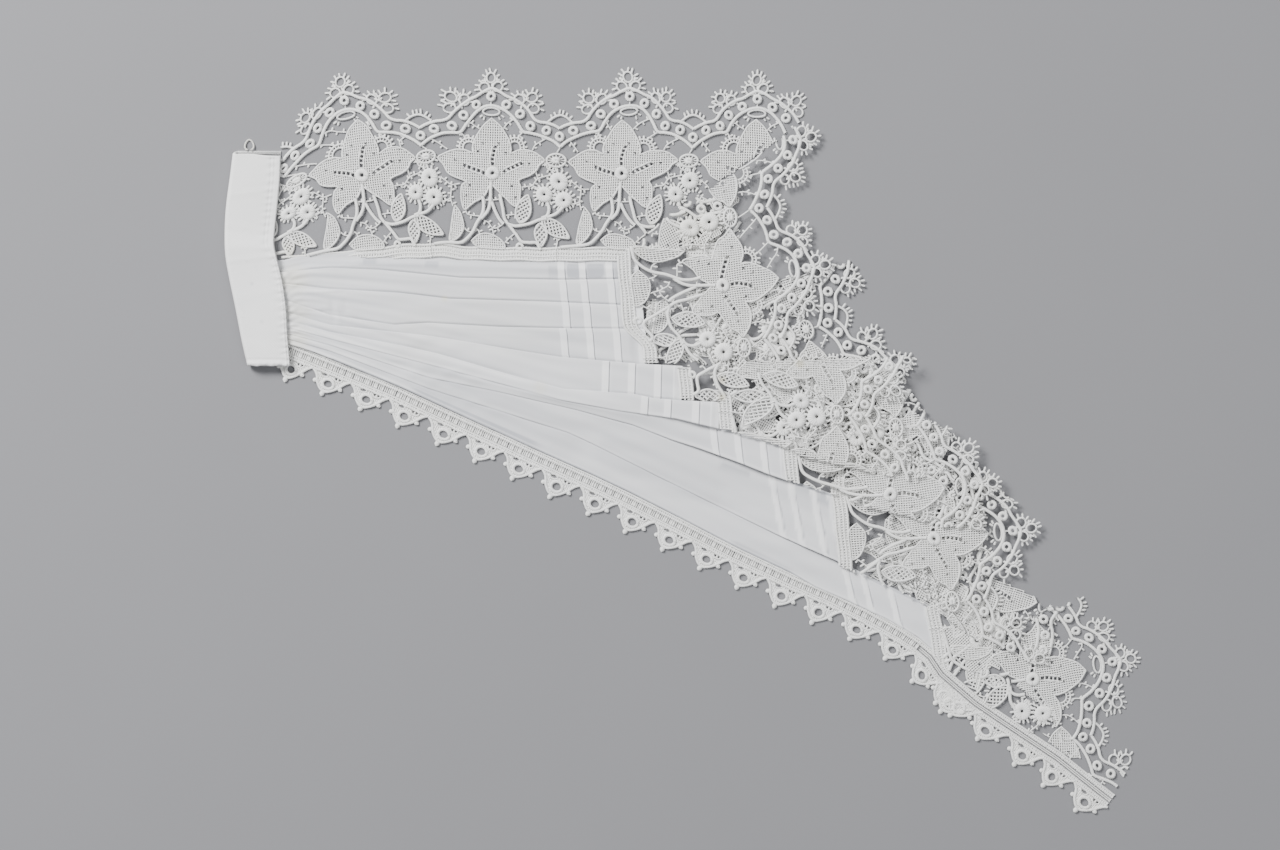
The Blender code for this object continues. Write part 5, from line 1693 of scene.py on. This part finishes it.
# Where the eyelet of each point lies, from the band to the end of the lace
POINT_PLACES = ((291, 366), (329, 382), (366.7, 399), (404.4, 416.5), (443.5, 434.8), (481.5, 451.8),
                (519, 469.2), (557, 485.8), (595, 503.2), (631.7, 522.6), (669, 540.7), (706.7, 558.7),
                (744, 576.7), (781.7, 594.7), (819, 612.7), (856.7, 630.7), (891.8, 650), (921.5, 672),
                (953, 699.5), (987.3, 727.8), (1025.3, 751.7), (1054.7, 772), (1086.6, 799))
POINT_HALF = 20.8
POINT_OUTLINE = ((-20.8, -0.5), (-17.4, 1.8), (-14.6, 4.4), (-12.6, 8.0), (-11.2, 11.4), (-8.8, 14.2),
                 (-6.1, 16.8), (-3.6, 18.2), (-1.2, 18.6), (1.4, 18.0), (4.6, 16.0), (7.6, 13.6),
                 (10.2, 11.0), (12.4, 8.2), (14.4, 5.4), (17.2, 2.2), (20.8, -0.5))
POINT_UNEVEN = (0.96, 1.05)
EYELET = (0.0, 9.8, 5.9, 5.1)
EYELET_OPEN = 4.0
EYELET_OPEN_HALF = 0.8
SLITS = ((-6.8, 0.2), (8.0, 0.4))
SLIT_HALF = 4.2
SLIT_HIGH = 3.0
SLIT_HOLES = (-2.2, -0.8, 0.8, 2.2)
SLIT_HOLES_UP = 1.5
SLIT_HOLE = 0.8
BLOBS = ((-14.0, 10.8, 2.4), (-2.2, 21.2, 2.6), (13.4, 10.8, 2.3))
BLOB_LEAN = 0.3
BLOB_HEIGHT = 0.47
BLOB_HEART = (0.0, 6.0)
# A blob from foot to tip: share of its size along and across, and half height in mm
BLOB_SHAPE = ((-1.0, 0.6, 0.3), (-0.5, 0.9, 0.44), (0.1, 1.0, 0.48), (0.6, 0.8, 0.42), (0.95, 0.3, 0.2))
# Points that lie doubled where the edging is crumpled: number, moved along and moved in
CRUMPLED = ((18, 9.0, -3.5), (18, -8.0, -2.5))
# The edging's soft rises along its length, and its rise onto the neckband's foot
EDGING_LIE = ((0.08, 0.13, 0.0), (0.05, 0.4, 0.0, 1.0))
EDGING_RISE = 0.4
EDGING_RISE_ALONG = (16.0, 8.0)
EDGING_RISE_OUT = (14.0, 6.0)


def edging_path():
    """The sewing line as places half a square apart, with a smoothed way along at each."""
    line = np.array(EDGING_LINE)
    run = np.concatenate([[0], np.cumsum(np.hypot(*np.diff(line, axis=0).T))])
    far = np.arange(0, run[-1], 0.5)
    path = np.stack([np.interp(far, run, line[:, 0]), np.interp(far, run, line[:, 1])], -1)
    reach = 40
    padded = np.vstack([path[:1] - (path[1] - path[0]) * np.arange(reach, 0, -1)[:, None], path,
                        path[-1:] + (path[-1] - path[-2]) * np.arange(1, reach + 1)[:, None]])
    way = padded[2 * reach:] - padded[:-2 * reach]
    way = way / np.linalg.norm(way, axis=1, keepdims=True)
    return path, way, run[-1]


EDGING_PATH, EDGING_WAY, EDGING_LONG = edging_path()


def on_edging(points):
    """Places along and outward from the sewing line, as places on the sheet."""
    points = np.asarray(points, float)
    here = np.clip(points[:, 0], 0, EDGING_LONG - 1) * 2
    index = np.arange(len(EDGING_PATH))
    spot = np.stack([np.interp(here, index, EDGING_PATH[:, axis]) for axis in (0, 1)], -1)
    way = np.stack([np.interp(here, index, EDGING_WAY[:, axis]) for axis in (0, 1)], -1)
    over = (points[:, 0] - here / 2)[:, None]
    out = np.stack([-way[:, 1], way[:, 0]], -1)
    return spot + out * (points[:, 1:2] + EDGING_GAP) + way * over


def along_edging(places):
    """How far along the sewing line each place of the sheet is."""
    near = [np.argmin(np.hypot(*(EDGING_PATH - np.array(place)).T)) for place in places]
    return np.array(near) / 2.0


def stitch(work, line, thread, sides=4, closed=False, step=1.6):
    """A thread of the edging, along a smooth line of places along and outward from the sewing line."""
    wide, high, z = thread
    line = np.asarray(line, float)
    fine = line if closed else curve_through(line, step)
    lift = sum(wave(fine[:, 0], fine[:, 1], *row) for row in EDGING_LIE)
    lift = lift + EDGING_RISE * ramp(fine[:, 0], *EDGING_RISE_ALONG) * ramp(fine[:, 1], *EDGING_RISE_OUT)
    laid = np.column_stack([on_edging(fine), z + lift])
    work.tubes(laid[None], wide, high, sides=sides, closed=closed)


def edging_heading(work, rng):
    """The heading: lengthwise cords, a rib of stitches along each side, and a ladder of holes between."""
    for out, wide, z in HEADING_CORDS:
        stitch(work, ((0, out), (EDGING_LONG, out)), (wide, HEADING_CORD_HIGH, z), step=2.0)
    ladder_long = along_edging([LADDER_ENDS])[0]
    for out in PRESSED_LINES:
        stitch(work, ((ladder_long, out), (EDGING_LONG, out)), PRESSED_THREAD, step=2.0)
    for number in range(int(EDGING_LONG / RIB_STEP)):
        along = RIB_START + number * RIB_STEP + rng.uniform(-RIB_UNEVEN, RIB_UNEVEN)
        slanted = along + RIB_SLANT
        inner, outer = (INNER_RIB[0], INNER_RIB[1], LADDER[0]), (LADDER[1], OUTER_RIB[0], OUTER_RIB[1])
        for start, middle, end in (inner, outer):
            stitch(work, ((along, start), (slanted, middle), (along, end)), RIB_STITCH, step=2.2)
        if along <= ladder_long:
            thread = HOLE_STITCH if along % LADDER_STEP < LADDER_HOLE else RUNG_STITCH
            stitch(work, ((along, LADDER[0]), (along, LADDER[1])), thread, step=5.0)


def edging_point(work, rng, at):
    """One small point: woven ground, outline, eyelet, two slits and three blobs, each laid by at."""
    chart = Chart()
    x, y = EYELET[:2]
    holes = [(x + side * EYELET_OPEN_HALF, y, EYELET_OPEN) for side in (-1, 1)]
    holes += [(x + step, y + SLIT_HOLES_UP, SLIT_HOLE) for x, y in SLITS for step in SLIT_HOLES]
    chart.net(POINT_OUTLINE, 2.0, 2.2, wide=1.1, z=LOW_NET_HEIGHT, holes=holes)
    for points, width, high, sides, closed, shifts, star in chart.strokes:
        spot = on_edging(at(points[:, :2]))
        work.tubes(np.column_stack([spot, points[:, 2]])[None], width[None], high, sides=sides)
    stitch(work, at(POINT_OUTLINE), POINT_THREAD, sides=6)
    turn = math.tau * np.arange(16) / 16
    ring = np.stack([EYELET[0] + EYELET[2] * np.cos(turn), EYELET[1] + EYELET[3] * np.sin(turn)], -1)
    stitch(work, at(ring), EYELET_THREAD, sides=6, closed=True)
    for x, y in SLITS:
        half = np.radians(np.linspace(-10, 190, 10))
        arch = np.stack([x + SLIT_HALF * np.cos(half), y + 1.0 + SLIT_HIGH * np.sin(half)], -1)
        stitch(work, at(arch), SLIT_ARCH)
        stitch(work, at(((x - SLIT_HALF, y), (x, y - 0.6), (x + SLIT_HALF, y))), SLIT_SILL)
    reaches, widths, heights = np.array(BLOB_SHAPE).T
    for x, y, size in BLOBS:
        way = np.array([x, y]) - BLOB_HEART
        way = way / np.linalg.norm(way)
        way = way + rng.uniform(-BLOB_LEAN, BLOB_LEAN) * np.array([-way[1], way[0]])
        line = np.array([x, y]) + way * reaches[:, None] * size
        laid = np.column_stack([on_edging(at(line)), np.full(len(line), BLOB_HEIGHT)])
        work.tubes(laid[None], size * widths, heights, sides=6)


def edging_work():
    """The whole edging, with its points spaced by their places and doubled where it is crumpled."""
    work = Work()
    rng = random.Random(5)
    edging_heading(work, rng)
    places = along_edging(POINT_PLACES)
    edges = np.concatenate([[places[0] - POINT_HALF], (places[:-1] + places[1:]) / 2,
                            [places[-1] + POINT_HALF]])
    points = [(number, 0.0, 0.0) for number in range(len(places))] + list(CRUMPLED)
    for number, over, moved in points:
        tall = rng.uniform(*POINT_UNEVEN)
        base = np.array([places[number] + over, HEADING_DEEP + moved])
        before = (places[number] - edges[number]) / POINT_HALF
        after = (edges[number + 1] - places[number]) / POINT_HALF

        def at(spots):
            spots = np.asarray(spots, float)
            grow = before + (after - before) * ramp(spots[..., :1], -POINT_HALF, POINT_HALF)
            return base + spots * np.concatenate([grow, np.full_like(grow, tall)], -1)

        edging_point(work, rng, at)
    return work


edging = edging_work().piece("picot_edging", lace_thread, "narrow_edging")
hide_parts("narrow_edging")

# The table is a plain pale cloth-covered board, lit by soft daylight from the upper left, and the camera
# looks straight down on it.

FLOOR_GREY = (0.20, 0.20, 0.21)
FLOOR_SHADE = 0.95
BOARD_HALF = 2.5
WINDOW = ((-0.85, 0.85, 0.95), 0.55, 57.0)
FAR_SIDE = ((0.9, -0.3, 1.2), 1.2, 11.0)
ROOM_COLOUR = (0.93, 0.96, 1.0, 1.0)
ROOM_LIGHT = 0.37
VIEW_MIDDLE = (640.0, 425.0)
VIEW_WIDE = 1280.0
LENS = 90.0
SENSOR = 36.0


def table():
    material = bpy.data.materials.new("table")
    material.use_nodes = True
    tree = material.node_tree
    shader = tree.nodes["Principled BSDF"]
    shader.inputs["Roughness"].default_value = 0.9
    place = node(tree, "ShaderNodeTexCoord").outputs["Object"]
    cloud = node(tree, "ShaderNodeTexNoise", [("Vector", place), ("Scale", 14.0), ("Detail", 3.0)])
    light, dark = (*FLOOR_GREY, 1.0), (*(FLOOR_SHADE * value for value in FLOOR_GREY), 1.0)
    tree.links.new(blend_node(tree, cloud.outputs["Fac"], light, dark), shader.inputs["Base Color"])
    corners = [(x * BOARD_HALF, y * BOARD_HALF, 0.0) for x, y in ((-1, -1), (1, -1), (1, 1), (-1, 1))]
    mesh = bpy.data.meshes.new("table")
    mesh.from_pydata(corners, [], [(0, 1, 2, 3)])
    mesh.materials.append(material)
    board = bpy.data.objects.new("table", mesh)
    bpy.context.scene.collection.objects.link(board)


def lamp(name, place, size, power):
    """A square soft lamp that faces the middle of the table."""
    light = bpy.data.lights.new(name, "AREA")
    light.size = size
    light.energy = power
    holder = bpy.data.objects.new(name, light)
    holder.location = place
    away = -holder.location
    holder.rotation_euler = away.to_track_quat("-Z", "Y").to_euler()
    bpy.context.scene.collection.objects.link(holder)


table()
lamp("window", *WINDOW)
lamp("far side", *FAR_SIDE)
world = bpy.data.worlds.new("room")
world.use_nodes = True
background = world.node_tree.nodes["Background"]
background.inputs["Color"].default_value = ROOM_COLOUR
background.inputs["Strength"].default_value = ROOM_LIGHT
bpy.context.scene.world = world

camera_data = bpy.data.cameras.new("camera")
camera_data.lens = LENS
camera_data.sensor_width = SENSOR
camera_data.clip_start = 0.01
camera = bpy.data.objects.new("camera", camera_data)
middle = to_metres((*VIEW_MIDDLE, 0.0))
distance = LENS / SENSOR * VIEW_WIDE * SQUARE * MM
camera.location = (middle[0], middle[1], distance)
bpy.context.scene.collection.objects.link(camera)
bpy.context.scene.camera = camera

bpy.context.view_layer.update()
